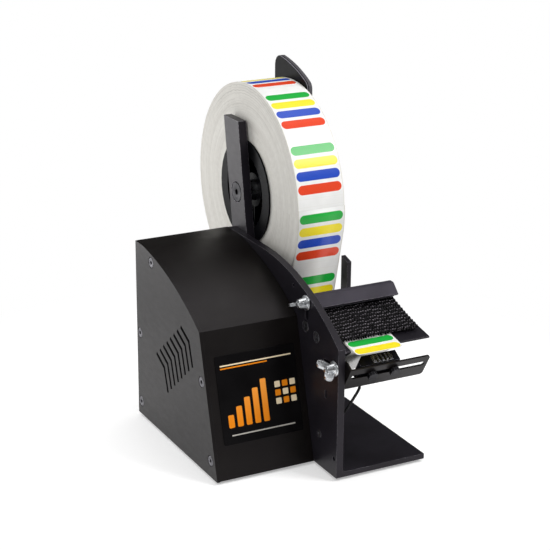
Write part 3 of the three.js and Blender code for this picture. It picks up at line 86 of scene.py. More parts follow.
# One millimetre, and sizes in millimetres that several classes share: the side plate's thickness, the feet's
# height, the cover's outer face, the box of its vents along Y and Z, the labels' repeat, and the way over the
# roll's skin from its rearmost line to the middle of a green bar.
MM = 0.001
PLATE = 6.35
PAD = 3.0
SIDE_FACE = -98.9
VENTS: Tuple[Pair, Pair] = ((83.0, 162.0), (46.0, 121.0))
LABEL_PITCH = 60.35
GREEN_ARC = 190.15

# Whole repeats that a pattern is counted on by, so that its count is never negative.
AHEAD = 64.0


def working_origin() -> Vector:
    """Where the working frame's zero lies in the row's frame.

    Returns:
        The offset in millimetres, read from the side plate's own corner.
    """
    low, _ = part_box("side_frame")
    return Vector((low.x / MM + PLATE, low.y / MM, low.z / MM - PAD))


ORIGIN = working_origin()


def spot(x: float, y: float, z: float) -> Vector:
    """A point of the working frame, in metres in the row's frame.

    Args:
        x: millimetres to the machine's right.
        y: millimetres to its rear.
        z: millimetres above the desk.

    Returns:
        The point in metres.
    """
    return (Vector((x, y, z)) + ORIGIN) * MM


def extent(node: str) -> Tuple[Vector, Vector]:
    """Where a solid lies.

    Args:
        node: the solid's name.

    Returns:
        Its lowest and its highest corner, in millimetres in the working frame.
    """
    low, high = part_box(node)
    return low / MM - ORIGIN, high / MM - ORIGIN


def centre_of(node: str) -> Pair:
    """The middle of a solid, as Y and Z.

    Args:
        node: the solid's name.

    Returns:
        Its place in millimetres in the working frame.
    """
    low, high = extent(node)
    return (low.y + high.y) / 2, (low.z + high.z) / 2


def around(centre: Pair, radius: float, turn: float) -> Pair:
    """A place at a distance from another one.

    Args:
        centre: the other place, as Y and Z.
        radius: the distance.
        turn: the direction, as an angle from the rear over the top.

    Returns:
        The place, as Y and Z.
    """
    return centre[0] + radius * math.cos(turn), centre[1] + radius * math.sin(turn)


ROLL_AXIS = centre_of("label_roll")
ROLL_RADIUS = extent("label_roll")[1].z - ROLL_AXIS[1]
STRIP = (extent("label_roll")[0].x, extent("label_roll")[1].x)


def tone(code: int) -> Colour:
    """Linear colour of a six digit screen colour.

    Args:
        code: the colour, such as 0xF1EFE9.

    Returns:
        Its red, green and blue, each from 0 to 1.
    """
    parts = [((code >> shift) & 255) / 255 for shift in (16, 8, 0)]
    red, green, blue = (c / 12.92 if c <= 0.04045 else ((c + 0.055) / 1.055) ** 2.4 for c in parts)
    return red, green, blue


def shaded(colour: Colour, gain: float, lift: float = 0.0) -> Colour:
    """A colour made lighter or darker.

    Args:
        colour: the colour.
        gain: what it is multiplied by.
        lift: what is added to it.

    Returns:
        The new colour, no part of it above 1.
    """
    red, green, blue = (min(1.0, part * gain + lift) for part in colour)
    return red, green, blue


class Slot(str, Enum):
    """The record's material slots."""

    FRAME = "frame_black"
    COVER = "cover_black"
    HOOD = "hood_black"
    OVERLAY = "overlay_gloss"
    PLASTIC = "plastic_black"
    BRISTLE = "bristle_black"
    RUBBER = "rubber_black"
    BRIGHT = "steel_bright"
    DARK = "steel_black"
    ROLL = "roll_paper"
    WEB = "web_paper"
    LABEL = "label_face"
    CORE = "core_card"
    BOARD = "board_green"
    WINDOW = "window_dark"


class Recipe:
    """Node tree of one material, with short calls for its sums."""

    def __init__(self, name: str) -> None:
        """Starts a material with its shader.

        Args:
            name: the material's name.
        """
        self.material = bpy.data.materials.new(name)
        self.material.use_nodes = True
        self.tree = self.material.node_tree
        self.shader = self.tree.nodes["Principled BSDF"]

    def add(self, kind: str, **settings: object) -> bpy.types.Node:
        """Adds a node and sets its properties.

        Args:
            kind: the node's type.
            settings: properties of the node by name.

        Returns:
            The new node.
        """
        node = self.tree.nodes.new(kind)
        for key, value in settings.items():
            setattr(node, key, value)
        return node

    def feed(self, socket: bpy.types.NodeSocket, value: object) -> None:
        """Links a socket to another one, or writes a plain value on it.

        Args:
            socket: the input.
            value: an output socket, a number or a colour.
        """
        if isinstance(value, bpy.types.NodeSocket):
            self.tree.links.new(value, socket)
        elif isinstance(value, (tuple, list)) and len(value) == 3 and socket.type == "RGBA":
            socket.default_value = (*value, 1.0)
        else:
            socket.default_value = value

    def sum(self, operation: str, *values: object, clamp: bool = False) -> bpy.types.NodeSocket:
        """One step of arithmetic.

        Args:
            operation: the Math node's operation.
            values: its one to three inputs.
            clamp: whether the result stays from 0 to 1.

        Returns:
            The result.
        """
        node = self.add("ShaderNodeMath", operation=operation, use_clamp=clamp)
        for socket, value in zip(node.inputs, values):
            self.feed(socket, value)
        return node.outputs[0]

    def times(self, first: object, second: object) -> bpy.types.NodeSocket:
        """The product of two values."""
        return self.sum("MULTIPLY", first, second)

    def scaled(self, value: object, factor: object, plus: object) -> bpy.types.NodeSocket:
        """A value times a factor, plus another value."""
        return self.sum("MULTIPLY_ADD", value, factor, plus)

    def radius(self, across: object, up: object) -> bpy.types.NodeSocket:
        """How far a place is from zero, by its two coordinates."""
        return self.sum("SQRT", self.scaled(across, across, self.times(up, up)))

    def blend(self, share: object, low: object, high: object) -> bpy.types.NodeSocket:
        """Mixes two colours.

        Args:
            share: how much of the second one.
            low: the first colour.
            high: the second colour.

        Returns:
            The mixed colour.
        """
        node = self.add("ShaderNodeMix", data_type="RGBA", clamp_factor=True)
        self.feed(node.inputs[0], share)
        self.feed(node.inputs[6], low)
        self.feed(node.inputs[7], high)
        return node.outputs[2]

    def axes(self) -> Tuple[bpy.types.NodeSocket, bpy.types.NodeSocket, bpy.types.NodeSocket]:
        """The object coordinates in millimetres in the working frame.

        Returns:
            X, Y and Z.
        """
        place = self.add("ShaderNodeTexCoord").outputs["Object"]
        parts = self.add("ShaderNodeSeparateXYZ")
        self.feed(parts.inputs[0], place)
        x, y, z = (self.scaled(out, 1 / MM, -zero) for out, zero in zip(parts.outputs, ORIGIN))
        return x, y, z

    def strip(self) -> Tuple[bpy.types.NodeSocket, bpy.types.NodeSocket]:
        """The piece's own UV map in millimetres, along and across.

        Returns:
            The place along and the place across.
        """
        parts = self.add("ShaderNodeSeparateXYZ")
        self.feed(parts.inputs[0], self.add("ShaderNodeTexCoord").outputs["UV"])
        along, across = (self.times(out, 1 / MM) for out in parts.outputs[:2])
        return along, across

    def spots(self, place: bpy.types.NodeSocket, scale: float, detail: float) -> bpy.types.NodeSocket:
        """Soft noise at a place.

        Args:
            place: the place.
            scale: how many spots it has to a unit.
            detail: how many finer layers it has.

        Returns:
            The noise, about 0.5 in the middle.
        """
        node = self.add("ShaderNodeTexNoise")
        self.feed(node.inputs["Vector"], place)
        node.inputs["Scale"].default_value = scale
        node.inputs["Detail"].default_value = detail
        return node.outputs[0]

    def noise(self, grain: float, detail: float, stretch: Triple = (1, 1, 1)) -> bpy.types.NodeSocket:
        """Soft noise over the object's coordinates.

        Args:
            grain: size of its spots in millimetres.
            detail: how many finer layers it has.
            stretch: how much finer it is along each axis.

        Returns:
            The noise.
        """
        mapping = self.add("ShaderNodeMapping")
        self.feed(mapping.inputs[0], self.add("ShaderNodeTexCoord").outputs["Object"])
        mapping.inputs["Scale"].default_value = stretch
        return self.spots(mapping.outputs[0], 1 / (grain * MM), detail)

    def noise_of(self, x: object, y: object, z: object, detail: float) -> bpy.types.NodeSocket:
        """Soft noise over three worked out coordinates.

        Args:
            x: the first one.
            y: the second one.
            z: the third one.
            detail: how many finer layers it has.

        Returns:
            The noise.
        """
        joined = self.add("ShaderNodeCombineXYZ")
        for socket, value in zip(joined.inputs, (x, y, z)):
            self.feed(socket, value)
        return self.spots(joined.outputs[0], 1.0, detail)

    def band(self, value: object, low: float, high: float) -> bpy.types.NodeSocket:
        """Stretches a value so that low gives 0 and high gives 1.

        Args:
            value: the value.
            low: where it starts.
            high: where it ends.

        Returns:
            The stretched value, from 0 to 1.
        """
        node = self.add("ShaderNodeMapRange", clamp=True, interpolation_type="SMOOTHSTEP")
        self.feed(node.inputs[0], value)
        node.inputs[1].default_value = low
        node.inputs[2].default_value = high
        return node.outputs[0]

    def rim(self) -> bpy.types.NodeSocket:
        """The share of a rounded edge, as the mesh code marked it."""
        return self.add("ShaderNodeAttribute", attribute_name="rim").outputs["Fac"]

    def backdrop_rays(self) -> bpy.types.NodeSocket:
        """Tells the rays that see the backdrop from those that light the machine.

        Returns:
            1 for rays of the camera and of gloss or glass, and 0 for the others.
        """
        rays = self.add("ShaderNodeLightPath").outputs
        mirrored = self.sum("MAXIMUM", rays["Is Glossy Ray"], rays["Is Transmission Ray"])
        return self.sum("MAXIMUM", rays["Is Camera Ray"], mirrored)

    def plate(self, x: object, y: object, middle: Pair, half: Pair, corner: float) -> bpy.types.NodeSocket:
        """Mask of a rectangle with round corners.

        Args:
            x: coordinate across.
            y: coordinate up.
            middle: its middle.
            half: its half width and half height.
            corner: radius of its corners.

        Returns:
            1 inside and 0 outside, over a soft edge of an eighth of a millimetre.
        """
        outs = []
        for value, centre, reach in zip((x, y), middle, half):
            away = self.sum("ABSOLUTE", self.sum("SUBTRACT", value, centre))
            outs.append(self.sum("MAXIMUM", self.sum("SUBTRACT", away, reach - corner), 0.0))
        far = self.sum("SUBTRACT", self.radius(*outs), corner)
        return self.sum("MULTIPLY_ADD", far, -8.0, 0.5, clamp=True)

    def bump(self, height: object, depth: float,
             under: Optional[bpy.types.NodeSocket] = None) -> bpy.types.NodeSocket:
        """Relief from a height.

        Args:
            height: the height, from 0 to 1.
            depth: how deep it goes, in millimetres.
            under: a relief that it lies on.

        Returns:
            The normal.
        """
        node = self.add("ShaderNodeBump")
        node.inputs["Distance"].default_value = depth * MM
        self.feed(node.inputs["Height"], height)
        if under is not None:
            self.feed(node.inputs["Normal"], under)
        return node.outputs[0]

    def finish(self, colour: object, roughness: object, normal: Optional[bpy.types.NodeSocket] = None,
               **plain: object) -> bpy.types.Material:
        """Feeds the shader.

        Args:
            colour: the base colour.
            roughness: the roughness.
            normal: the relief.
            plain: constant values on the shader's own sockets, with _ for a space.

        Returns:
            The finished material.
        """
        self.feed(self.shader.inputs["Base Color"], colour)
        self.feed(self.shader.inputs["Roughness"], roughness)
        if normal is not None:
            self.feed(self.shader.inputs["Normal"], normal)
        for name, value in plain.items():
            self.shader.inputs[name.replace("_", " ")].default_value = value
        return self.material


@dataclass(frozen=True)
class CoatedMetal:
    """Black coat on metal: a fine grain, a slow change of tone, and rounded edges paler in patches, partly
    wear and partly a painted highlight.

    Inside the given box of the vents, their cut walls and pressed mouths are painted black and made matt, as
    painted shade in the slots.
    """

    name: str
    colour: Colour
    pale: Colour
    wear_and_highlight: Colour
    roughness: float = 0.42
    grain: float = 0.28
    relief: float = 0.018
    stretch: Triple = (1, 1, 1)
    specular: float = 0.2
    tint: Colour = (1.0, 0.93, 0.98)
    vent_shade_box: Tuple[Pair, ...] = ()
    cloud: float = 38.0
    smear: float = 9.0
    wear: float = 2.2
    fade: float = 0.06

    def make(self) -> bpy.types.Material:
        """Builds the material.

        Returns:
            The material.
        """
        r = Recipe(self.name)
        slow = r.band(r.noise(self.cloud, 3), 0.32, 0.72)
        grain = r.noise(self.grain, 2, self.stretch)
        smear = r.noise(self.smear, 4, (1, 1, 2.5))
        base = r.blend(slow, self.colour, self.pale)
        # Paler rounded edges in patches: partly worn coat, partly a painted highlight along the edges.
        wear_and_highlight = r.times(r.rim(), r.band(r.noise(self.wear, 4), 0.3, 0.62))
        colour = r.blend(r.times(wear_and_highlight, 0.75), base, self.wear_and_highlight)
        rough = r.scaled(grain, 0.12, r.scaled(smear, 0.16, self.roughness - 0.08))
        # Painted shade: inside the vents' box the coat is painted black and made matt.
        if self.vent_shade_box:
            inside: object = 1.0
            for value, (low, high) in zip(r.axes(), self.vent_shade_box):
                inside = r.times(inside, r.band(value, low, low + self.fade))
                inside = r.times(inside, r.band(value, high, high - self.fade))
            colour = r.blend(inside, colour, BLACK)
            rough = r.sum("MAXIMUM", rough, inside)
        return r.finish(colour, rough, r.bump(grain, self.relief), Specular_IOR_Level=self.specular,
                        Specular_Tint=(*self.tint, 1.0))


@dataclass(frozen=True)
class MouldedPlastic:
    """Moulded plastic with a spark eroded texture and a slight gloss change.

    To the right of the given place it is painted paler, as painted light on the outer guide, and its rounded
    edges carry a painted highlight, brightest to the left of that place, on the hub.
    """

    name: str
    colour: Colour
    pale: Colour
    lit_guide_tone: Colour
    lit_guide_from: float
    rim_highlight: Colour
    roughness: float = 0.3
    grain: float = 0.45
    relief: float = 0.015
    specular: float = 0.03
    cloud: float = 22.0
    smear: float = 6.0
    fade: float = 1.0

    def make(self) -> bpy.types.Material:
        """Builds the material.

        Returns:
            The material.
        """
        r = Recipe(self.name)
        slow = r.band(r.noise(self.cloud, 2), 0.3, 0.7)
        # Painted light: the outer guide, to the right, is painted paler than the hub.
        outer = r.band(r.axes()[0], self.lit_guide_from, self.lit_guide_from + self.fade)
        base = r.blend(outer, r.blend(slow, self.colour, self.pale), self.lit_guide_tone)
        # Painted highlight on the rounded edges, brightest on the hub to the left.
        rim_highlight = r.blend(outer, self.rim_highlight, shaded(self.pale, 5, 0.05))
        colour = r.blend(r.times(r.rim(), 0.8), base, rim_highlight)
        rough = r.scaled(r.noise(self.smear, 3), 0.14, self.roughness - 0.07)
        relief = r.bump(r.noise(self.grain, 3), self.relief)
        return r.finish(colour, rough, relief, Specular_IOR_Level=self.specular)


@dataclass(frozen=True)
class PlatedSteel:
    """Zinc or nickel plate over cast or turned steel.

    Where it is blacked, it is darker in front of the first place and above the second one.
    """

    name: str
    colour: Colour
    dull: Colour
    roughness: float = 0.3
    relief: float = 0.05
    grain: float = 1.1
    blacked: Optional[Pair] = None
    cloud: float = 3.5
    fade: float = 1.0

    def make(self) -> bpy.types.Material:
        """Builds the material.

        Returns:
            The material.
        """
        r = Recipe(self.name)
        cloud = r.band(r.noise(self.cloud, 5), 0.3, 0.7)
        colour = r.blend(cloud, self.colour, self.dull)
        if self.blacked:
            _, y, z = r.axes()
            front, top = self.blacked
            before = r.band(y, front + self.fade, front)
            above = r.band(z, top, top + self.fade)
            colour = r.blend(r.sum("MAXIMUM", before, above), colour, shaded(self.dull, 0.3))
        bright = r.blend(r.times(r.rim(), 0.5), colour, shaded(self.colour, 1.15))
        rough = r.scaled(cloud, 0.18, self.roughness - 0.06)
        return r.finish(bright, rough, r.bump(r.noise(self.grain, 4), self.relief), Metallic=1.0)


@dataclass(frozen=True)
class RubberSkin:
    """Matt rubber or a cable's jacket."""

    name: str
    colour: Colour
    roughness: float = 0.72
    dust: float = 4.0
    smear: float = 1.2
    grain: float = 0.35

    def make(self) -> bpy.types.Material:
        """Builds the material.

        Returns:
            The material.
        """
        r = Recipe(self.name)
        dust = r.band(r.noise(self.dust, 4), 0.5, 0.85)
        colour = r.blend(r.times(dust, 0.35), self.colour, shaded(self.colour, 3, 0.01))
        rough = r.scaled(r.noise(self.smear, 3), 0.2, self.roughness - 0.1)
        return r.finish(colour, rough, r.bump(r.noise(self.grain, 2), 0.03), Specular_IOR_Level=0.3)


@dataclass(frozen=True)
class WoundPaper:
    """Side of a roll: hundreds of edges of a thin strip, seen as fine rings about the hub's axis.

    Darker wavy marks near its top, a painted shade of the wound layers' wavy edges, fade in over a span of
    heights and over a span of radii.
    """

    name: str
    colour: Colour
    shade: Colour
    axis: Pair
    layer: float = 0.32
    winding: float = 7.0
    swell: float = 5.0
    marked_up: Pair = (225.0, 285.0)
    marked_out: Pair = (62.0, 92.0)

    def make(self) -> bpy.types.Material:
        """Builds the material.

        Returns:
            The material.
        """
        r = Recipe(self.name)
        _, y, z = r.axes()
        dy, dz = r.sum("SUBTRACT", y, self.axis[0]), r.sum("SUBTRACT", z, self.axis[1])
        radius = r.radius(dy, dz)
        angle = r.sum("ARCTAN2", dz, dy)
        rings = r.noise_of(r.sum("DIVIDE", radius, self.layer), r.times(angle, 0.8), 0.0, 1.0)
        bands = r.noise_of(r.sum("DIVIDE", radius, self.winding), r.times(angle, 0.35), 4.0, 3.0)
        swell = r.noise_of(r.times(angle, 16.0), r.sum("DIVIDE", radius, self.swell), 9.0, 1.0)
        mixed = r.scaled(rings, 0.45, r.times(bands, 0.55))
        soft = r.scaled(swell, 0.18, r.times(mixed, 0.82))
        # Painted shade of the layers' wavy edges near the top of the roll's side.
        wave = r.sum("SINE", r.scaled(swell, 7.0, r.times(radius, 2.6)))
        upper = r.times(r.band(z, *self.marked_up), r.band(radius, *self.marked_out))
        marks = r.times(r.band(wave, 0.55, 1.0), r.times(upper, r.band(bands, 0.42, 0.6)))
        colour = r.blend(r.band(soft, 0.34, 0.66), self.colour, self.shade)
        colour = r.blend(r.times(marks, 0.5), colour, shaded(self.shade, 0.55))
        height = r.scaled(rings, 0.5, r.times(bands, 0.5))
        return r.finish(colour, 0.78, r.bump(height, 0.09), Specular_IOR_Level=0.25)


@dataclass(frozen=True)
class PrintedStrip:
    """Die cut labels on their liner: plain coloured bars with round ends, and two cut lines to a repeat.

    Places along it count from a green bar's middle, and a repeat starts lead before that.
    """

    name: str
    white: Colour
    liner: Colour
    bars: Tuple[Tuple[float, Colour], ...]
    pitch: float
    bar_across: Pair
    label_across: Pair
    bar_half: float
    cuts: Pair
    lead: float = 8.0
    label_half: float = 9.0
    label_corner: float = 0.6
    cut_half: float = 0.28
    cut_corner: float = 0.2
    cut_reach: float = 1.0

    def make(self) -> bpy.types.Material:
        """Builds the material.

        Returns:
            The material.
        """
        r = Recipe(self.name)
        along, across = r.strip()
        turns = r.sum("FRACT", r.scaled(along, 1 / self.pitch, self.lead / self.pitch + AHEAD))
        place = r.scaled(turns, self.pitch, -self.lead)
        low, high = self.bar_across
        middle, half = (low + high) / 2, (high - low) / 2
        speck = r.noise_of(r.times(along, 2.5), r.times(across, 2.5), 0.0, 3.0)
        slow = r.noise_of(r.times(along, 0.06), r.times(across, 0.09), 2.0, 2.0)
        paper = r.blend(r.band(slow, 0.3, 0.7), self.white, shaded(self.white, 0.95))
        low, high = self.label_across
        size = ((high - low) / 2, self.label_half)
        inside = r.plate(across, 0.0, ((low + high) / 2, 0.0), size, self.label_corner)
        colour = r.blend(inside, self.liner, paper)
        printed = 0.0
        for centre, ink in self.bars:
            mask = r.plate(across, place, (middle, centre), (half, self.bar_half), self.bar_half)
            mottled = r.blend(r.band(speck, 0.35, 0.75), ink, shaded(ink, 1.12, 0.01))
            colour = r.blend(mask, colour, mottled)
            printed = r.sum("MAXIMUM", printed, mask)
        for centre in self.cuts:
            size = (half + self.cut_reach, self.cut_half)
            cut = r.plate(across, place, (middle, centre), size, self.cut_corner)
            colour = r.blend(r.times(cut, 0.2), colour, self.liner)
            printed = r.sum("MAXIMUM", printed, r.times(cut, 0.4))
        rough = r.scaled(printed, -0.12, r.scaled(speck, 0.1, 0.36))
        normal = r.bump(speck, 0.008, r.bump(r.scaled(printed, 0.3, inside), 0.04))
        return r.finish(colour, rough, normal, Specular_IOR_Level=0.45)


@dataclass(frozen=True)
class BareLiner:
    """Silicone coated backing paper after its labels have left it, with a faint slanting hatch."""

    name: str
    colour: Colour
    shade: Colour
    slant: Pair = (1.1, 0.6)
    hatch: float = 3.2

    def make(self) -> bpy.types.Material:
        """Builds the material.

        Returns:
            The material.
        """
        r = Recipe(self.name)
        along, across = r.strip()
        slant = r.sum("ADD", r.times(along, self.slant[0]), r.times(across, self.slant[1]))
        hatch = r.scaled(r.sum("SINE", r.times(slant, self.hatch)), 0.5, 0.5)
        cloud = r.noise_of(r.times(along, 0.5), r.times(across, 0.5), 0.0, 4.0)
        share = r.times(r.band(hatch, 0.55, 0.95), r.band(cloud, 0.35, 0.65))
        colour = r.blend(share, self.colour, self.shade)
        return r.finish(colour, r.scaled(cloud, 0.15, 0.28), r.bump(cloud, 0.03), Specular_IOR_Level=0.5)


@dataclass(frozen=True)
class Card:
    """Wound grey brown card of the roll's core."""

    name: str
    colour: Colour
    shade: Colour
    fibre: float = 0.6

    def make(self) -> bpy.types.Material:
        """Builds the material.

        Returns:
            The material.
        """
        r = Recipe(self.name)
        fibre = r.noise(self.fibre, 4, (1, 3, 3))
        colour = r.blend(r.band(fibre, 0.35, 0.7), self.colour, self.shade)
        return r.finish(colour, 0.85, r.bump(fibre, 0.06), Specular_IOR_Level=0.2)


@dataclass(frozen=True)
class Crimp:
    """How the bristles are set in tufts and crimped.

    Each tuft's crimp is shifted by its own offset, and all of them wander along slow waves, given by their
    height in radians and their pitch in radians to a millimetre.
    """

    left: float = 1.0
    tuft: float = 2.369
    wave: float = 4.15
    height: float = 0.6
    wander: Tuple[Pair, ...] = ((0.9, 0.07), (0.45, 0.31))
    step: float = 2.1
    offset: float = 0.75

    def phase(self, x: float, y: float) -> float:
        """Phase of the crimp at a place.

        Args:
            x: millimetres across.
            y: millimetres to the rear.

        Returns:
            The phase in radians.
        """
        own_turn = self.offset * math.sin(self.step * math.floor((x - self.left) / self.tuft))
        wander = sum(size * math.sin(x * pitch) for size, pitch in self.wander)
        return own_turn - FULL_TURN * y / self.wave + wander


@dataclass(frozen=True)
class Bristle:
    """Crimped synthetic bristle in tufts: rows of crests painted with highlights, over dark hollows."""

    name: str
    colour: Colour
    pale: Colour
    crimp: Crimp
    patch: float = 9.0
    speck: float = 1.6
    fibre: float = 0.5

    def make(self) -> bpy.types.Material:
        """Builds the material.

        Returns:
            The material.
        """
        r = Recipe(self.name)
        x, y, _ = r.axes()
        wander = 0.0
        for size, pitch in self.crimp.wander:
            wander = r.scaled(r.sum("SINE", r.times(x, pitch)), size, wander)
        count = r.scaled(x, 1 / self.crimp.tuft, -self.crimp.left / self.crimp.tuft)
        own_turn = r.sum("SINE", r.times(r.sum("FLOOR", count), self.crimp.step))
        wander = r.scaled(own_turn, self.crimp.offset, wander)
        phase = r.scaled(y, -FULL_TURN / self.crimp.wave, wander)
        # Painted highlights on the crimp's crests, in the middle of each tuft.
        crest_highlight = r.band(r.sum("SINE", phase), 0.25, 0.95)
        middle = r.band(r.sum("ABSOLUTE", r.sum("SUBTRACT", r.sum("FRACT", count), 0.5)), 0.4, 0.14)
        own = r.scaled(r.noise(self.patch, 2), 0.5, r.times(r.noise(self.speck, 2, (1, 0.6, 1)), 0.5))
        share = r.times(r.times(crest_highlight, middle), r.band(own, 0.36, 0.6))
        fibre = r.noise(self.fibre, 3, (1, 0.12, 0.3))
        colour = r.blend(share, self.colour, self.pale)
        return r.finish(colour, r.scaled(fibre, 0.2, 0.36), r.bump(fibre, 0.09), Specular_IOR_Level=0.12)


CRIMP = Crimp()


@dataclass(frozen=True)
class DarkGlass:
    """Smoked window of the sensor, with fine moulded ribs, and its rounded edges painted pale as a painted
    highlight.
    """

    name: str
    colour: Colour
    pale: Colour
    rib: float = 7.0
    smear: float = 1.5

    def make(self) -> bpy.types.Material:
        """Builds the material.

        Returns:
            The material.
        """
        r = Recipe(self.name)
        ribs = r.scaled(r.sum("SINE", r.times(r.axes()[0], self.rib)), 0.5, 0.5)
        # Painted highlight: the rounded edges are painted pale.
        colour = r.blend(r.rim(), self.colour, self.pale)
        rough = r.scaled(r.noise(self.smear, 3), 0.12, 0.3)
        return r.finish(colour, rough, r.bump(ribs, 0.03), Specular_IOR_Level=0.2)


@dataclass(frozen=True)
class BoardLacquer:
    """Green lacquer over copper tracks, with dark parts standing on it."""

    name: str
    green: Colour
    track: Colour
    part: Colour
    top: float
    grid: Pair = (3.4, 5.2)
    weave: float = 6.0
    body: float = 14.0
    gap: Pair = (0.2, 0.6)

    def make(self) -> bpy.types.Material:
        """Builds the material.

        Returns:
            The material.
        """
        r = Recipe(self.name)
        x, y, z = r.axes()
        lines = []
        for value, step in zip((x, y), self.grid):
            saw = r.sum("FRACT", r.scaled(value, 1 / step, AHEAD))
            away = r.sum("ABSOLUTE", r.sum("SUBTRACT", saw, 0.5))
            lines.append(r.sum("MULTIPLY_ADD", away, -16.0, 3.2, clamp=True))
        tracks = r.times(r.sum("MAXIMUM", *lines), r.band(r.noise(self.weave, 2), 0.45, 0.6))
        lacquer = r.blend(tracks, self.green, self.track)
        above = r.band(z, self.top + self.gap[0], self.top + self.gap[1])
        body = r.blend(r.band(r.noise(self.body, 1), 0.4, 0.6), self.part, shaded(self.part, 3, 0.02))
        return r.finish(r.blend(above, lacquer, body), r.scaled(above, 0.2, 0.32), r.bump(tracks, 0.03))


class Ink(Enum):
    """Inks of the front plate's pattern. The faded one gets lighter towards the top."""

    FADED = "faded"
    WARM = "warm"
    CREAM = "cream"
    GREY = "grey"


@dataclass(frozen=True)
class GraphicPanel:
    """Gloss front plate with a plain pattern of rising bars, small squares and thin rules.

    Places are X and the way up the leaning plate from the feet's height. The lean is the cosine of its angle.
    Bars and squares repeat at a step, and each rule is given by its height, its ends and its ink.
    """

    name: str
    ground: Colour
    warm: Colour
    cream: Colour
    grey: Colour
    lean: float
    bars: int = 5
    bar_start: Pair = (-79.0, 43.0)
    bar_step: float = 8.2
    bar_half: float = 2.7
    bar_height: float = 11.0
    bar_growth: float = 6.4
    bar_corner: float = 1.1
    bar_tones: Pair = (42.0, 86.0)
    squares: int = 3
    square_start: Pair = (-33.0, 58.0)
    square_step: float = 7.2
    square_half: float = 2.6
    square_corner: float = 0.8
    rules: Tuple[Tuple[float, float, float, Ink], ...] = (
        (36.5, -80.0, -20.0, Ink.GREY), (96.0, -84.0, -17.0, Ink.CREAM), (93.6, -84.0, -40.0, Ink.WARM))
    rule_half: float = 0.55
    rule_corner: float = 0.5
    cloud: float = 30.0
    smear: float = 3.0
    ripple: float = 8.0

    def shapes(self) -> Iterator[Tuple[Pair, Pair, float, Ink]]:
        """Lists the pattern's shapes, in the order in which they are printed.

        Yields:
            A shape's middle, its half width and half height, the radius of its corners and its ink.
        """
        for i in range(self.bars):
            half = (self.bar_height + self.bar_growth * i) / 2
            middle = (self.bar_start[0] + self.bar_step * i, self.bar_start[1] + half)
            yield middle, (self.bar_half, half), self.bar_corner, Ink.FADED
        for row in range(self.squares):
            for column in range(self.squares):
                middle = tuple(a + self.square_step * i for a, i in zip(self.square_start, (column, row)))
                ink = Ink.WARM if (row + column) % 2 else Ink.CREAM
                yield middle, (self.square_half, self.square_half), self.square_corner, ink
        for height, low, high, ink in self.rules:
            yield ((low + high) / 2, height), ((high - low) / 2, self.rule_half), self.rule_corner, ink

    def make(self) -> bpy.types.Material:
        """Builds the material.

        Returns:
            The material.
        """
        r = Recipe(self.name)
        x, _, z = r.axes()
        up = r.scaled(z, 1 / self.lean, -PAD / self.lean)
        faded = r.blend(r.band(up, *self.bar_tones), self.warm, shaded(self.warm, 1.3, 0.05))
        inks = {Ink.FADED: faded, Ink.WARM: self.warm, Ink.CREAM: self.cream, Ink.GREY: self.grey}
        slow = r.band(r.noise(self.cloud, 2), 0.3, 0.7)
        colour = r.blend(slow, self.ground, shaded(self.ground, 1.6))
        printed = 0.0
        for middle, half, corner, ink in self.shapes():
            mask = r.plate(x, up, middle, half, corner)
            colour = r.blend(mask, colour, inks[ink])
            printed = r.sum("MAXIMUM", printed, mask)
        rough = r.scaled(printed, 0.12, r.scaled(r.noise(self.smear, 4), 0.1, 0.12))
        relief = r.bump(printed, 0.02, r.bump(r.noise(self.ripple, 2), 0.02))
        return r.finish(colour, rough, relief, Specular_IOR_Level=0.08)


@dataclass(frozen=True)
class StudioFloor:
    """Plain pale floor that keeps the machine's shadow and runs into the white backdrop.

    It starts to turn white at the radius near from the middle, and is all white at far.
    """

    name: str
    colour: Colour
    lift: float = 0.36
    near: float = 150.0
    far: float = 380.0

    def make(self) -> bpy.types.Material:
        """Builds the material.

        Returns:
            The material.
        """
        r = Recipe(self.name)
        r.finish(self.colour, 0.9, Specular_IOR_Level=0.0)
        x, y, _ = r.axes()
        away = r.radius(r.sum("ADD", x, ORIGIN.x), r.sum("ADD", y, ORIGIN.y))
        seen = r.backdrop_rays()
        lift, white = r.add("ShaderNodeEmission"), r.add("ShaderNodeEmission")
        added, mixed = r.add("ShaderNodeAddShader"), r.add("ShaderNodeMixShader")
        r.feed(lift.inputs["Strength"], r.times(seen, self.lift))
        for socket, shader in zip(added.inputs, (r.shader, lift)):
            r.feed(socket, shader.outputs[0])
        turned_white = r.times(seen, r.band(away, self.near, self.far))
        for socket, value in zip(mixed.inputs, (turned_white, added.outputs[0], white.outputs[0])):
            r.feed(socket, value)
        r.feed(r.tree.nodes["Material Output"].inputs["Surface"], mixed.outputs[0])
        return r.material


INKS = (
    (0.0, tone(0x12A93A)),
    (11.7, tone(0xF4DF1C)),
    (23.0, tone(0x1846B8)),
    (34.6, tone(0xE2421C)),
)


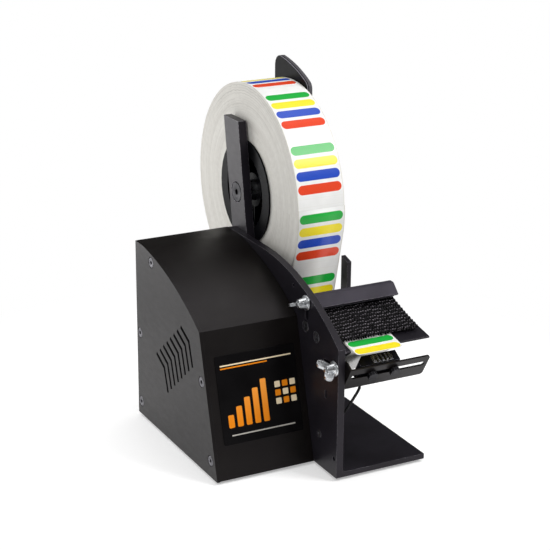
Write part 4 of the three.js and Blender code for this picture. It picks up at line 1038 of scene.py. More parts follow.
def palette() -> Dict[Slot, bpy.types.Material]:
    """Makes every finish once.

    Returns:
        The materials by slot.
    """
    finishes = {
        Slot.FRAME: CoatedMetal(
            "frame_black", tone(0x1B191E), tone(0x222026), tone(0x9A979E), 0.32, specular=0.25),
        Slot.COVER: CoatedMetal(
            "cover_black", tone(0x0D0A09), tone(0x12100E), tone(0x4E4C52), 0.3, 0.32, specular=0.24,
            vent_shade_box=((SIDE_FACE + 0.04, SIDE_FACE + 3.9), *VENTS)),
        Slot.HOOD: CoatedMetal(
            "hood_black", tone(0x312F36), tone(0x3D3A43), tone(0x76737B), 0.5, 0.3, 0.02, (0.1, 1, 1)),
        Slot.OVERLAY: GraphicPanel(
            "overlay_gloss", tone(0x0C0B0C), tone(0xF08A17), tone(0xF6E3C0), tone(0xB9B5AE), 0.9646),
        Slot.PLASTIC: MouldedPlastic(
            "plastic_black", tone(0x0B0B0D), tone(0x131316), tone(0x555357), 58.0, tone(0x8A8890)),
        Slot.BRISTLE: Bristle("bristle_black", tone(0x050406), tone(0x787379), CRIMP),
        Slot.RUBBER: RubberSkin("rubber_black", tone(0x141416)),
        Slot.BRIGHT: PlatedSteel("steel_bright", tone(0xD8DADC), tone(0xA9ACB0)),
        Slot.DARK: PlatedSteel("steel_black", tone(0x7C7B80), tone(0x605F64), 0.42, 0.02, 0.6, (2.0, 180.0)),
        Slot.ROLL: WoundPaper("roll_paper", tone(0xE4E2DC), tone(0xD2CFC8), ROLL_AXIS),
        Slot.WEB: BareLiner("web_paper", tone(0xCFCECA), tone(0x8E8D8B)),
        Slot.LABEL: PrintedStrip(
            "label_face", tone(0xF2F2F0), tone(0xDDDAD0), INKS, LABEL_PITCH, bar_across=(11.9, 54.5),
            label_across=(11.15, 55.65), bar_half=4.15, cuts=(42.6, 49.6)),
        Slot.CORE: Card("core_card", tone(0xA98F6A), tone(0x8F7856)),
        Slot.BOARD: BoardLacquer("board_green", tone(0x1D5A36), tone(0x2F7A4A), tone(0x101013), 13.1),
        Slot.WINDOW: DarkGlass("window_dark", tone(0x08080A), tone(0xC9C9CE)),
    }
    return {key: value.make() for key, value in finishes.items()}


PAINTS = palette()


def linked(name: str, data: bpy.types.ID) -> bpy.types.Object:
    """Puts data into the scene.

    Args:
        name: the object's name.
        data: its mesh, curve, lamp or camera.

    Returns:
        The object.
    """
    result = bpy.data.objects.new(name, data)
    bpy.context.scene.collection.objects.link(result)
    return result


def settle(bm: bmesh.types.BMesh, name: str, body: str, slots: Sequence[Slot], nodes: Sequence[str],
           sharp: float = 38.0) -> bpy.types.Object:
    """Turns mesh code into a finished piece that rides on its body.

    Args:
        bm: the mesh, in metres in the row's frame. It is freed.
        name: the piece's name.
        body: the body that it rides on.
        slots: the record's slots of its materials, the main one first.
        nodes: the solids that it stands for.
        sharp: the angle in degrees from which an edge stays sharp.

    Returns:
        The piece.
    """
    mesh = bpy.data.meshes.new(name)
    bm.to_mesh(mesh)
    bm.free()
    for slot in slots:
        mesh.materials.append(PAINTS[slot])
    mesh.shade_smooth()
    mesh.set_sharp_from_angle(angle=math.radians(sharp))
    piece = linked(name, mesh)
    if nodes:
        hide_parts(*nodes)
    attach(piece, body)
    LOG.info("piece %s on %s, %d faces", name, body, len(mesh.polygons))
    return piece


def even(piece: bpy.types.Object) -> bpy.types.Object:
    """Keeps wide flat faces flat in the shading beside their rounded edges.

    Args:
        piece: the piece.

    Returns:
        The same piece.
    """
    modifier = piece.modifiers.new("even_normals", "WEIGHTED_NORMAL")
    modifier.keep_sharp = True
    modifier.weight = 60
    return piece


def sharp_edges(bm: bmesh.types.BMesh, least: float = 40.0) -> List[bmesh.types.BMEdge]:
    """Finds the edges at which two faces meet at an angle.

    Args:
        bm: the mesh.
        least: the smallest angle in degrees that counts.

    Returns:
        The edges.
    """
    return [e for e in bm.edges if len(e.link_faces) == 2 and e.calc_face_angle(0) > math.radians(least)]


def bevel(bm: bmesh.types.BMesh, edges: Sequence[bmesh.types.BMEdge], width: float, segments: int,
          mark: Optional[bmesh.types.BMLayerItem] = None) -> None:
    """Bevels edges, and marks the new faces where there is a mark for them.

    Args:
        bm: the mesh.
        edges: the edges.
        width: how far the bevel reaches from them, in the mesh's own unit.
        segments: faces across it.
        mark: the layer of faces in which the new ones get a 1.
    """
    made = bmesh.ops.bevel(bm, geom=edges, offset=width, offset_type="OFFSET", segments=segments,
                           profile=0.5, affect="EDGES", material=-1, clamp_overlap=True)
    if mark is not None:
        for face in made["faces"]:
            face[mark] = 1.0


def round_edges(bm: bmesh.types.BMesh, width: float, segments: int, least: float = 40.0) -> None:
    """Rounds the sharp edges of a closed mesh and marks the new faces as its rim.

    Args:
        bm: the mesh.
        width: width of the rounding in millimetres.
        segments: faces across it.
        least: the smallest angle in degrees that is rounded.
    """
    mark = bm.faces.layers.float.new("rim")
    bevel(bm, sharp_edges(bm, least), width * MM, segments, mark)


def merged(node: str) -> bmesh.types.BMesh:
    """A closed copy of a solid's loose triangles, with its flat faces joined.

    Args:
        node: the solid's name.

    Returns:
        The mesh.
    """
    bm = bmesh.new()
    bm.from_mesh(frame["nodes"][node].data)
    bmesh.ops.remove_doubles(bm, verts=bm.verts, dist=1e-6)
    bmesh.ops.dissolve_limit(bm, angle_limit=math.radians(0.6), verts=bm.verts, edges=bm.edges)
    return bm


@dataclass(frozen=True)
class Part:
    """A piece that stands for one solid, and takes its place and its body from it."""

    node: str

    def settled(self, bm: bmesh.types.BMesh, slot: Slot, sharp: float) -> bpy.types.Object:
        """Turns the part's mesh into its piece.

        Args:
            bm: the mesh.
            slot: its material slot.
            sharp: the angle in degrees from which an edge stays sharp.

        Returns:
            The piece.
        """
        body = frame["nodes"][self.node]["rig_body"]
        return settle(bm, "dressed_" + self.node, body, [slot], [self.node], sharp)

    def build(self) -> None:
        """Makes the piece, in each kind of part in its own way."""
        raise NotImplementedError


@dataclass(frozen=True)
class Dressed(Part):
    """A solid whose shape is right: its edges are rounded and its curves run smooth.

    The rounding has a width in millimetres and a number of faces across it. An edge stays sharp from the
    angle sharp on, and is rounded from the angle least on.
    """

    slot: Slot
    width: float = 0.35
    segments: int = 2
    sharp: float = 38.0
    least: float = 40.0

    def build(self) -> None:
        """Makes the piece."""
        bm = merged(self.node)
        if self.width:
            round_edges(bm, self.width, self.segments, self.least)
        even(self.settled(bm, self.slot, self.sharp))


@dataclass
class Assembly:
    """A sub-assembly, with the parts that need no more than their own sizes."""

    parts: Tuple[Part, ...] = ()

    def build(self) -> None:
        """Makes these parts."""
        for part in self.parts:
            part.build()


Ring = Callable[[float], Vector]


def drawn(rings: Sequence[Ring], steps: int, closed: bool = False) -> bmesh.types.BMesh:
    """Draws one loop out of another, as a turner follows a profile.

    Args:
        rings: for each loop, the place in millimetres at a turning angle.
        steps: corners of a loop.
        closed: whether the last loop meets the first; otherwise both ends are capped.

    Returns:
        The closed mesh, in metres in the row's frame.
    """
    bm = bmesh.new()
    layer = bm.verts.layers.float.new("turn")
    first = bmesh.ops.create_circle(bm, cap_ends=False, radius=1.0, segments=steps)["verts"]
    for vert in first:
        vert[layer] = math.atan2(vert.co.y, vert.co.x)
    edges = list(bm.edges)
    start = list(edges)
    loops = [first]
    for _ in rings[1:]:
        made = bmesh.ops.extrude_edge_only(bm, edges=edges)["geom"]
        edges = [g for g in made if isinstance(g, bmesh.types.BMEdge)]
        loops.append([g for g in made if isinstance(g, bmesh.types.BMVert)])
        edges = [e for e in edges if all(v in set(loops[-1]) for v in e.verts)]
    for loop, ring in zip(loops, rings):
        for vert in loop:
            place = ring(vert[layer])
            vert.co = spot(place.x, place.y, place.z)
    if closed:
        bmesh.ops.remove_doubles(bm, verts=bm.verts, dist=1e-7)
    else:
        bmesh.ops.contextual_create(bm, geom=start)
        bmesh.ops.contextual_create(bm, geom=edges)
    bmesh.ops.recalc_face_normals(bm, faces=bm.faces)
    return bm


def turned_ring(centre: Pair, radius: float, x: float) -> Ring:
    """A round loop about an axis along X.

    Args:
        centre: the axis, as Y and Z.
        radius: the loop's radius.
        x: its place along the axis.

    Returns:
        The loop.
    """
    return lambda turn: Vector((x, *around(centre, radius, turn)))


def turned(centre: Pair, profile: Sequence[Pair], steps: int = 40, closed: bool = False) -> bmesh.types.BMesh:
    """A turned shape about an axis along X.

    Args:
        centre: the axis, as Y and Z.
        profile: pairs of place along X and radius.
        steps: corners of a loop.
        closed: whether the profile's last point is its first, as on a tube.

    Returns:
        The mesh.
    """
    return drawn([turned_ring(centre, radius, x) for x, radius in profile], steps, closed)


@dataclass(frozen=True)
class SocketScrew(Part):
    """Flat head screw with a hexagon socket, its head to the machine's left."""

    head: float = 4.5
    depth: float = 2.6
    shank: float = 2.1
    socket: float = 1.8
    socket_depth: float = 1.4
    mouth_share: float = 1.13
    lip: float = 0.18
    edge: float = 0.22
    land: float = 0.3
    chamfer: float = 0.4
    steps: int = 36

    def hexagon(self, x: float) -> Ring:
        """A six sided loop at a place along the screw.

        Args:
            x: the place.

        Returns:
            The loop.
        """
        axis = centre_of(self.node)
        side = math.pi / 3
        flat = self.socket * math.cos(side / 2)
        return lambda turn: Vector((x, *around(axis, flat / math.cos(turn % side - side / 2), turn)))

    def build(self) -> None:
        """Makes the screw."""
        low, high = extent(self.node)
        face, end = low.x, high.x
        rings = [self.hexagon(face + self.socket_depth), self.hexagon(face + self.lip)]
        for radius, x in ((self.socket * self.mouth_share, face), (self.head - self.edge, face),
                          (self.head, face + self.edge), (self.head, face + self.land),
                          (self.shank, face + self.depth), (self.shank, end - self.chamfer),
                          (self.shank - self.chamfer, end)):
            rings.append(turned_ring(centre_of(self.node), radius, x))
        self.settled(drawn(rings, self.steps), Slot.DARK, sharp=30)


@dataclass(frozen=True)
class WingNut(Part):
    """Cast wing nut whose two ears carry a sunk panel.

    It is made in millimetres with its axis up, and then put where its own solid is. The outline gives radius
    and height of the turned body. An ear is the hull of two discs, each given by its share of the way from
    the root to the tip and its share of the ear's radius. Edges inside the body's core stay sharp.
    """

    turn: float
    outline: Tuple[Pair, ...] = (
        (2.7, 0.0), (6.3, 0.0), (6.6, 0.3), (6.6, 1.1), (6.25, 1.5), (5.4, 1.7), (5.0, 2.4), (3.9, 8.0),
        (3.4, 8.5), (2.7, 8.5))
    steps: int = 40
    span: float = 22.6
    reach: float = 13.0
    thickness: float = 2.6
    ear: float = 3.9
    ear_shares: Tuple[Pair, Pair] = ((0.32, 0.92), (1.0, 1.0))
    ear_steps: int = 28
    root: float = 3.4
    rim: float = 1.15
    slope: float = 0.3
    sink: float = 0.38
    core: Pair = (2.5, 1.5)
    soft: float = 0.42

    def stand(self) -> Matrix:
        """Works out where the nut stands on the plate.

        Returns:
            The matrix that puts the nut there.
        """
        turn = math.radians(self.turn)
        across = Vector((0, math.cos(turn), math.sin(turn)))
        out = Vector((-1, 0, 0))
        basis = Matrix((across, out.cross(across), out)).transposed().to_4x4()
        face = extent(self.node)[1].x
        return Matrix.Translation(spot(face, *centre_of(self.node))) @ basis @ Matrix.Scale(MM, 4)

    def add_ear(self, bm: bmesh.types.BMesh, side: int) -> None:
        """Adds one ear, with a sunk panel on both faces.

        Args:
            bm: the mesh.
            side: 1 or -1.
        """
        tip = self.span / 2 - self.ear
        rise = self.reach - self.ear - self.root
        corners: List[bmesh.types.BMVert] = []
        for share, size in self.ear_shares:
            for depth in (-self.thickness / 2, self.thickness / 2):
                middle = Vector((side * tip * share, depth, self.root + rise * share))
                place = Matrix.Translation(middle) @ Matrix.Rotation(math.pi / 2, 4, "X")
                corners += bmesh.ops.create_circle(bm, radius=self.ear * size, segments=self.ear_steps,
                                                   matrix=place)["verts"]
        hull = bmesh.ops.convex_hull(bm, input=corners)
        bmesh.ops.delete(bm, geom=hull["geom_interior"] + hull["geom_unused"], context="VERTS")
        faces = list({f for v in corners if v.is_valid for f in v.link_faces})
        edges = list({e for f in faces for e in f.edges})
        verts = list({v for f in faces for v in f.verts})
        bmesh.ops.dissolve_limit(bm, angle_limit=math.radians(1), verts=verts, edges=edges)
        broad = [f for f in bm.faces if self.is_panel(f, side)]
        bmesh.ops.inset_individual(bm, faces=broad, thickness=self.rim, depth=0.0)
        bmesh.ops.inset_individual(bm, faces=broad, thickness=self.slope, depth=-self.sink)

    def is_panel(self, face: bmesh.types.BMFace, side: int) -> bool:
        """Tells whether a face is the broad one of an ear.

        Args:
            face: the face.
            side: 1 or -1, for the ear.

        Returns:
            Whether it is.
        """
        middle = face.calc_center_median()
        on_face = abs(face.normal.y) > 0.9 and abs(abs(middle.y) - self.thickness / 2) < 0.01
        return on_face and side * middle.x > 0 and len(face.verts) > 12

    def build(self) -> None:
        """Makes the nut."""
        bm = bmesh.new()
        verts = [bm.verts.new((radius, 0, height)) for radius, height in self.outline]
        edges = [bm.edges.new(pair) for pair in zip(verts, verts[1:] + verts[:1])]
        bmesh.ops.spin(bm, geom=verts + edges, cent=(0, 0, 0), axis=(0, 0, 1), dvec=(0, 0, 0),
                       angle=FULL_TURN, steps=self.steps, use_merge=True, use_duplicate=False)
        bmesh.ops.remove_doubles(bm, verts=bm.verts, dist=1e-4)
        for side in (-1, 1):
            self.add_ear(bm, side)
        bmesh.ops.recalc_face_normals(bm, faces=bm.faces)
        mark = bm.faces.layers.float.new("rim")
        radius, height = self.core
        outer = [e for e in sharp_edges(bm, 50) if max(abs(v.co.x) for v in e.verts) > radius]
        bevel(bm, [e for e in outer if min(v.co.z for v in e.verts) > height], self.soft, 3, mark)
        bmesh.ops.transform(bm, matrix=self.stand(), verts=bm.verts)
        bmesh.ops.recalc_face_normals(bm, faces=bm.faces)
        even(self.settled(bm, Slot.BRIGHT, sharp=42))


@dataclass(frozen=True)
class Stud(Part):
    """Threaded stud with a chamfered end, and a domed head where it has one.

    A head is given by its radius and its height, and its dome by how far it lies back from the end and inside
    the head's radius.
    """

    head: Optional[Pair] = None
    radius: float = 2.4
    pitch: float = 0.8
    depth: float = 0.34
    crest_share: float = 0.4
    tip: Pair = (0.35, 0.8)
    lead: float = 0.5
    runout: float = 0.1
    chamfer: float = 0.3
    dome: Tuple[Pair, ...] = ((0.6, 0.0), (0.1, 0.7), (0.0, 1.6))
    steps: int = 28

    def build(self) -> None:
        """Makes the stud."""
        low, high = extent(self.node)
        root = self.radius - self.depth
        shank_end = high.x - (self.head[1] if self.head else 0)
        profile: List[Pair] = [(low.x, self.radius - self.tip[1]), (low.x + self.tip[0], root)]
        x = low.x + self.lead
        while x + self.pitch < shank_end - self.runout:
            profile += [(x, root), (x + self.pitch * self.crest_share, self.radius)]
            x += self.pitch
        if self.head:
            head = self.head[0]
            profile += [(shank_end, self.radius), (shank_end, head - self.chamfer),
                        (shank_end + self.chamfer, head)]
            profile += [(high.x - back, head - less) for back, less in self.dome]
        else:
            profile.append((shank_end - self.chamfer, root))
        self.settled(turned(centre_of(self.node), profile, self.steps), Slot.BRIGHT, sharp=30)


@dataclass
class Housing(Assembly):
    """Sheet cover over the drive, with its vented side panel, its front plate, its screws and the feet."""

    parts: Tuple[Part, ...] = (
        *(Dressed(node, Slot.COVER, 0.3) for node in ("wrap_cover", "rear_panel", "base_panel")),
        Dressed("front_overlay", Slot.OVERLAY, 0.1, 1),
        *(SocketScrew(f"cover_screw_{i}") for i in range(1, 6)),
        *(Dressed(f"foot_{end}_{side}", Slot.RUBBER, 0.6, 3) for end in ("front", "rear")
          for side in ("left", "right")),
    )
    flare: float = 0.8
    panel_edge: float = 0.15

    def at_mouth(self, vert: bmesh.types.BMVert) -> bool:
        """Tells whether a corner lies on the outer edge of a vent.

        Args:
            vert: the corner.

        Returns:
            Whether it does.
        """
        place = vert.co / MM - ORIGIN
        within = all(low < value < high for value, (low, high) in zip((place.y, place.z), VENTS))
        return within and abs(place.x - SIDE_FACE) < 0.05

    def vented_panel(self) -> None:
        """Makes the side panel, with the mouths of its vents pressed a little wider than their slots."""
        bm = merged("side_cover")
        mouths = [e for e in sharp_edges(bm) if all(self.at_mouth(v) for v in e.verts)]
        bevel(bm, mouths, self.flare * MM, 1)
        round_edges(bm, self.panel_edge, 2)
        LOG.info("side panel with %d vent edges", len(mouths))
        even(settle(bm, "dressed_side_cover", "frame", [Slot.COVER], ["side_cover"]))

    def build(self) -> None:
        """Makes the housing."""
        super().build()
        self.vented_panel()


@dataclass
class FrameAngle(Assembly):
    """Upright plate and foot in one angle, with its small screw."""

    parts: Tuple[Part, ...] = (
        Dressed("side_frame", Slot.FRAME, 0.45),
        SocketScrew("frame_screw", head=3.2, depth=1.9, shank=1.5, socket=1.2, socket_depth=1.0),
    )


def roll_turn(y: float, z: float) -> float:
    """The direction of a place from the roll's axis, as an angle from the rear over the top."""
    return math.atan2(z - ROLL_AXIS[1], y - ROLL_AXIS[0])


@dataclass
class Reel(Assembly):
    """Upright bar, axle, hub and the roll of labels, with the outer guide and its knob.

    The strip leaves the roll at the angle tangent, in degrees. The axle's outline gives X and radius.
    """

    parts: Tuple[Part, ...] = (
        Dressed("upright_bar", Slot.FRAME, 0.5),
        SocketScrew("hub_screw", head=8.8, depth=4.2, shank=4.5, socket=3.0, socket_depth=2.2, steps=60),
        *(Dressed(f"bar_screw_{i}", Slot.DARK, 0.4, 3) for i in (1, 2)),
        Dressed("core_hub", Slot.PLASTIC),
        Dressed("paper_core", Slot.CORE, 0.0),
        Dressed("outer_guide", Slot.PLASTIC, 0.5, 3),
        Dressed("guide_knob", Slot.PLASTIC, 0.8, 3),
    )
    bore: float = 41.4
    tangent: float = 190.2
    rings: int = 26
    steps: int = 180
    seed: int = 11
    dent: float = 0.22
    inset: float = 0.02
    edge: float = 0.25
    skin: float = 0.12
    axle_outline: Tuple[Pair, ...] = (
        (8.5, 4.8), (8.5, 9.3), (8.7, 9.5), (84.6, 9.5), (84.8, 9.1), (85.6, 9.1), (85.8, 9.5), (88.6, 9.5),
        (90.0, 8.1), (90.0, 2.4), (88.6, 1.2), (88.6, 0.01))

    def roll_profile(self) -> List[Pair]:
        """Works out the roll's section, its sides a little uneven where the strip was wound.

        Returns:
            Pairs of place along X and radius.
        """
        rng = random.Random(self.seed)
        (left, right), reach = STRIP, ROLL_RADIUS - self.edge - self.bore
        side: List[Pair] = []
        for i in range(self.rings + 1):
            side.append((self.inset + rng.uniform(0.0, self.dent), self.bore + reach * i / self.rings))
        skin = [(left + self.edge, ROLL_RADIUS), (right - self.edge, ROLL_RADIUS)]
        return ([(left + dent, radius) for dent, radius in side] + skin
                + [(right - dent, radius) for dent, radius in reversed(side)])

    def unwrap(self, bm: bmesh.types.BMesh) -> None:
        """Lays the outer face out: along the strip from the first green bar, and across.

        Args:
            bm: the roll.
        """
        layer = bm.loops.layers.uv.new("strip")
        limit = math.radians(self.tangent)
        for face in bm.faces:
            middle = face.calc_center_median() / MM - ORIGIN
            base = limit - (limit - roll_turn(middle.y, middle.z)) % FULL_TURN
            outer = math.dist((middle.y, middle.z), ROLL_AXIS) > ROLL_RADIUS - self.skin
            face.material_index = 1 if outer else 0
            for loop in face.loops:
                place = loop.vert.co / MM - ORIGIN
                turn = base + (roll_turn(place.y, place.z) - base + math.pi) % FULL_TURN - math.pi
                loop[layer].uv = ((ROLL_RADIUS * turn - GREEN_ARC) * MM, place.x * MM)

    def roll(self) -> None:
        """Makes the roll."""
        profile = self.roll_profile()
        bm = turned(ROLL_AXIS, profile + [profile[0]], self.steps, closed=True)
        self.unwrap(bm)
        slots = [Slot.ROLL, Slot.LABEL]
        even(settle(bm, "dressed_label_roll", "reel", slots, ["label_roll"], sharp=45))

    def axle(self) -> None:
        """Makes the axle, with a turned groove and a chamfer at its free end."""
        bm = turned(ROLL_AXIS, self.axle_outline, 48)
        even(settle(bm, "dressed_roll_axle", "frame", [Slot.BRIGHT], ["roll_axle"], sharp=30))

    def build(self) -> None:
        """Makes the reel and all that carries it."""
        super().build()
        self.axle()
        self.roll()


@dataclass(frozen=True)
class BrushRow:
    """One row of the brush: its pieces, the solid that it stands for and how its tufts lie.

    Each layer is given by its share of the sweep, 0 for the low one and 1 for the high one.
    """

    strands: str
    backing: str
    node: str
    layers: Tuple[float, ...]
    root_z: float
    seed: int
    front: float


@dataclass
class BrushUnit(Assembly):
    """Brush hood with its stud and wing nut, and two rows of crimped strands swept over the peel plate.

    A tuft runs from its root over the knees, which are given as Y and Z for both sweeps. Its section is an
    oval with ridges, and it narrows from its fade share on. No strand's middle goes below the bed, the label
    on the peel plate. The fields press and touch are not used.
    """

    parts: Tuple[Part, ...] = (
        Dressed("brush_hood", Slot.HOOD, 0.35, 3),
        Stud("hood_bolt"),
        WingNut("hood_wing_nut", turn=-20.0),
    )
    left: float = 1.0
    right: float = 76.8
    tufts: int = 32
    knees_low: Tuple[Pair, ...] = ((43, 127.4), (26, 123.0), (9.4, 121.1))
    knees_high: Tuple[Pair, ...] = ((43, 131.6), (26, 126.5), (9.4, 123.1))
    pulls: Pair = (0.5, -0.4)
    root_y: float = 52.3
    level_rise: float = 0.2
    points: int = 54
    trim: Pair = (0.0, 1.5)
    trim_rise: float = 0.15
    drift: Pair = (-0.2, 0.2)
    sizes: Pair = (0.85, 1.0)
    ridges: int = 6
    groove_share: float = 0.74
    half_width_share: float = 0.46
    half_height: float = 0.46
    start_share: float = 0.25
    sway: float = 0.15
    fade_share: float = 0.9
    taper: float = 4.5
    bed: float = 118.3
    bed_rise: float = 0.18
    press: float = 4.0
    touch: float = 123.0
    backing_rear: float = 59.5
    backing_height: float = 1.4
    backing_edge: float = 0.25
    rows: Tuple[BrushRow, ...] = (
        BrushRow("brush_strands_upper", "brush_backing_upper", "brush_upper", (0.5, 0.75, 1.0),
                 root_z=135.0, seed=5, front=51.5),
        BrushRow("brush_strands_lower", "brush_backing_lower", "brush_lower", (0.0, 0.25),
                 root_z=133.3, seed=8, front=52.7),
    )

    def course(self, share: float, root: Pair, trim: float) -> List[Pair]:
        """Places along one tuft between the low and the high sweep.

        Args:
            share: 0 for the low sweep and 1 for the high one.
            root: where it leaves its backing.
            trim: how much shorter it is.

        Returns:
            Evenly spread places, as Y and Z.
        """
        upper, lower, tip = ((a[0] + (b[0] - a[0]) * share, a[1] + (b[1] - a[1]) * share)
                             for a, b in zip(self.knees_low, self.knees_high))
        controls = (root, (upper[0], upper[1] + self.pulls[0]), (lower[0], lower[1] + self.pulls[1]),
                    (tip[0] + trim, tip[1] + trim * self.trim_rise))
        result = []
        for i in range(self.points):
            t = i / (self.points - 1)
            u = 1 - t
            weights = (u ** 3, 3 * u * u * t, 3 * u * t * t, t ** 3)
            result.append(tuple(sum(w * p[k] for w, p in zip(weights, controls)) for k in (0, 1)))
        return result

    def section(self, name: str) -> bpy.types.Object:
        """A tuft's section: a flat oval with a ridge for each strand.

        Args:
            name: the name of the line.

        Returns:
            The closed line.
        """
        curve = bpy.data.curves.new(name, "CURVE")
        curve.dimensions = "2D"
        line = curve.splines.new("POLY")
        count = self.ridges * 2
        line.points.add(count - 1)
        wide, high = CRIMP.tuft * self.half_width_share, self.half_height
        for i, point in enumerate(line.points):
            turn = i / count * FULL_TURN
            size = (1.0 if i % 2 else self.groove_share) * MM
            point.co = (wide * math.cos(turn) * size, high * math.sin(turn) * size, 0, 1)
        line.use_cyclic_u = True
        return linked(name, curve)

    def strands(self, row: BrushRow) -> None:
        """Makes one row of tufts.

        Args:
            row: the row.
        """
        rng = random.Random(row.seed)
        section = self.section(row.strands + "_section")
        curve = bpy.data.curves.new(row.strands, "CURVE")
        curve.dimensions = "3D"
        curve.bevel_mode = "OBJECT"
        curve.bevel_object = section
        curve.twist_mode = "Z_UP"
        curve.use_fill_caps = True
        for level, share in enumerate(row.layers):
            root = (self.root_y, row.root_z + self.level_rise * level)
            for tuft in range(self.tufts):
                x = CRIMP.left + (tuft + 0.5) * CRIMP.tuft
                course = self.course(share, root, rng.uniform(*self.trim))
                self.thread(curve, course, x, rng.uniform(*self.drift), rng.uniform(*self.sizes))
        source = linked(row.strands + "_line", curve)
        bpy.context.view_layer.update()
        mesh = bpy.data.meshes.new_from_object(source.evaluated_get(bpy.context.evaluated_depsgraph_get()))
        bpy.data.objects.remove(source)
        bpy.data.objects.remove(section)
        bm = bmesh.new()
        bm.from_mesh(mesh)
        bpy.data.meshes.remove(mesh)
        bmesh.ops.recalc_face_normals(bm, faces=bm.faces)
        piece = settle(bm, row.strands, "hood", [Slot.BRISTLE], [row.node], sharp=60)
        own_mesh(piece)

    def thread(self, curve: bpy.types.Curve, course: Sequence[Pair], x: float, drift: float,
               size: float) -> None:
        """Adds one crimped tuft.

        Args:
            curve: the curve that collects them.
            course: its places, as Y and Z.
            x: where it starts across.
            drift: how far it wanders across.
            size: its share of the full section.
        """
        line = curve.splines.new("POLY")
        line.points.add(len(course) - 1)
        edge = 0.5 * CRIMP.tuft
        for i, (y, z) in enumerate(course):
            t = i / (len(course) - 1)
            phase, grown = CRIMP.phase(x, y), min(1.0, t / self.start_share)
            here = x + drift * t * t + math.cos(phase) * self.sway * grown
            here = min(max(here, self.left + edge), self.right - edge)
            height = max(z + math.sin(phase) * CRIMP.height * grown, self.bed + self.bed_rise * y)
            line.points[i].co = (*spot(here, y, height), 1.0)
            line.points[i].radius = size * (1.0 - self.taper * max(0.0, t - self.fade_share))

    def backing(self, row: BrushRow) -> None:
        """Makes the strip that holds a row's roots.

        Args:
            row: the row.
        """
        top = extent(row.node)[1].z
        sizes = (self.right - self.left, self.backing_rear - row.front, self.backing_height)
        middle = spot((self.left + self.right) / 2, (row.front + self.backing_rear) / 2, top - sizes[2] / 2)
        scale = Matrix.Diagonal((*(size * MM for size in sizes), 1.0))
        bm = bmesh.new()
        bmesh.ops.create_cube(bm, size=1.0, matrix=Matrix.Translation(middle) @ scale)
        round_edges(bm, self.backing_edge, 2)
        even(settle(bm, row.backing, "hood", [Slot.PLASTIC], []))

    def build(self) -> None:
        """Makes the hood unit."""
        super().build()
        for row in self.rows:
            self.strands(row)
            self.backing(row)


@dataclass
class PeelStation(Assembly):
    """Peel plate with its screws, the guide rod and the edge guide."""

    parts: Tuple[Part, ...] = (
        Dressed("peel_plate", Slot.FRAME, 0.3),
        *(SocketScrew(f"peel_screw_{i}") for i in (1, 2)),
        Dressed("guide_rod", Slot.FRAME, 0.6, 3),
        Dressed("guide_rod_screw", Slot.DARK, 0.5, 3),
        Dressed("edge_guide", Slot.FRAME),
        Dressed("edge_guide_screw", Slot.BRIGHT, 0.5, 3),
    )


def between(start: Vector, end: Vector, first: float, last: float, t: float) -> Vector:
    """A place on the straight line through two others.

    Args:
        start: the place at the time first.
        end: the place at the time last.
        first: the first time.
        last: the last time.
        t: the time that is asked for.

    Returns:
        The place at that time.
    """
    return start * ((last - t) / (last - first)) + end * ((t - first) / (last - first))


@dataclass
class SensorUnit(Assembly):
    """Slotted bar with the label sensor, its clamp screws and its cable."""

    parts: Tuple[Part, ...] = (
        Dressed("sensor_bar", Slot.COVER, 0.3),
        Dressed("sensor_block", Slot.PLASTIC),
        Dressed("sensor_window", Slot.WINDOW, 0.15),
        *(Dressed(f"sensor_screw_{i}", Slot.DARK, 0.25, sharp=50.0, least=60.0) for i in (1, 2)),
        Dressed("cable_grommet", Slot.RUBBER, 0.35, 3),
        Stud("bar_bolt", head=(4.6, 3.2)),
        WingNut("bar_wing_nut", turn=25.4),
    )
    radius: float = 1.2
    route: Tuple[Triple, ...] = (
        (19, 7.8, 80.9), (18.6, 7.7, 77.5), (12, 7.2, 68.5), (6.8, 9.4, 59), (5.6, 20, 49.5),
        (5.6, 38, 44), (5.6, 52, 42.4), (5, 58.6, 42.1), (3.7, 61.4, 42), (1.8, 62, 42))
    samples: int = 6

    def line(self) -> List[Vector]:
        """The cable's middle line, smooth through its route points.

        The time between two points grows with the root of their distance, which keeps the line from
        swinging out at the short stretches.

        Returns:
            Its places, in metres in the row's frame.
        """
        points = [Vector(p) for p in self.route]
        ends = [points[0] * 2 - points[1]] + points + [points[-1] * 2 - points[-2]]
        result: List[Vector] = []
        for i in range(1, len(ends) - 2):
            near = ends[i - 1:i + 3]
            time = [0.0]
            for a, b in zip(near, near[1:]):
                time.append(time[-1] + math.sqrt((b - a).length))
            for k in range(self.samples):
                t = time[1] + (time[2] - time[1]) * k / self.samples
                lines = [between(near[j], near[j + 1], time[j], time[j + 1], t) for j in range(3)]
                arcs = [between(lines[j], lines[j + 1], time[j], time[j + 2], t) for j in range(2)]
                result.append(between(*arcs, time[1], time[2], t))
        result.append(points[-1])
        return [spot(*p) for p in result]

    def cable(self) -> None:
        """Makes the cable as one open line with a round section."""
        line = self.line()
        curve = bpy.data.curves.new("sensor_lead", "CURVE")
        curve.dimensions = "3D"
        curve.bevel_depth = self.radius * MM
        curve.bevel_resolution = 4
        curve.use_fill_caps = True
        spline = curve.splines.new("POLY")
        spline.points.add(len(line) - 1)
        for point, place in zip(spline.points, line):
            point.co = (*place, 1.0)
        spline.use_smooth = True
        curve.materials.append(PAINTS[Slot.RUBBER])
        lead = linked("sensor_lead", curve)
        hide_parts("sensor_cable")
        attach(lead, "frame")


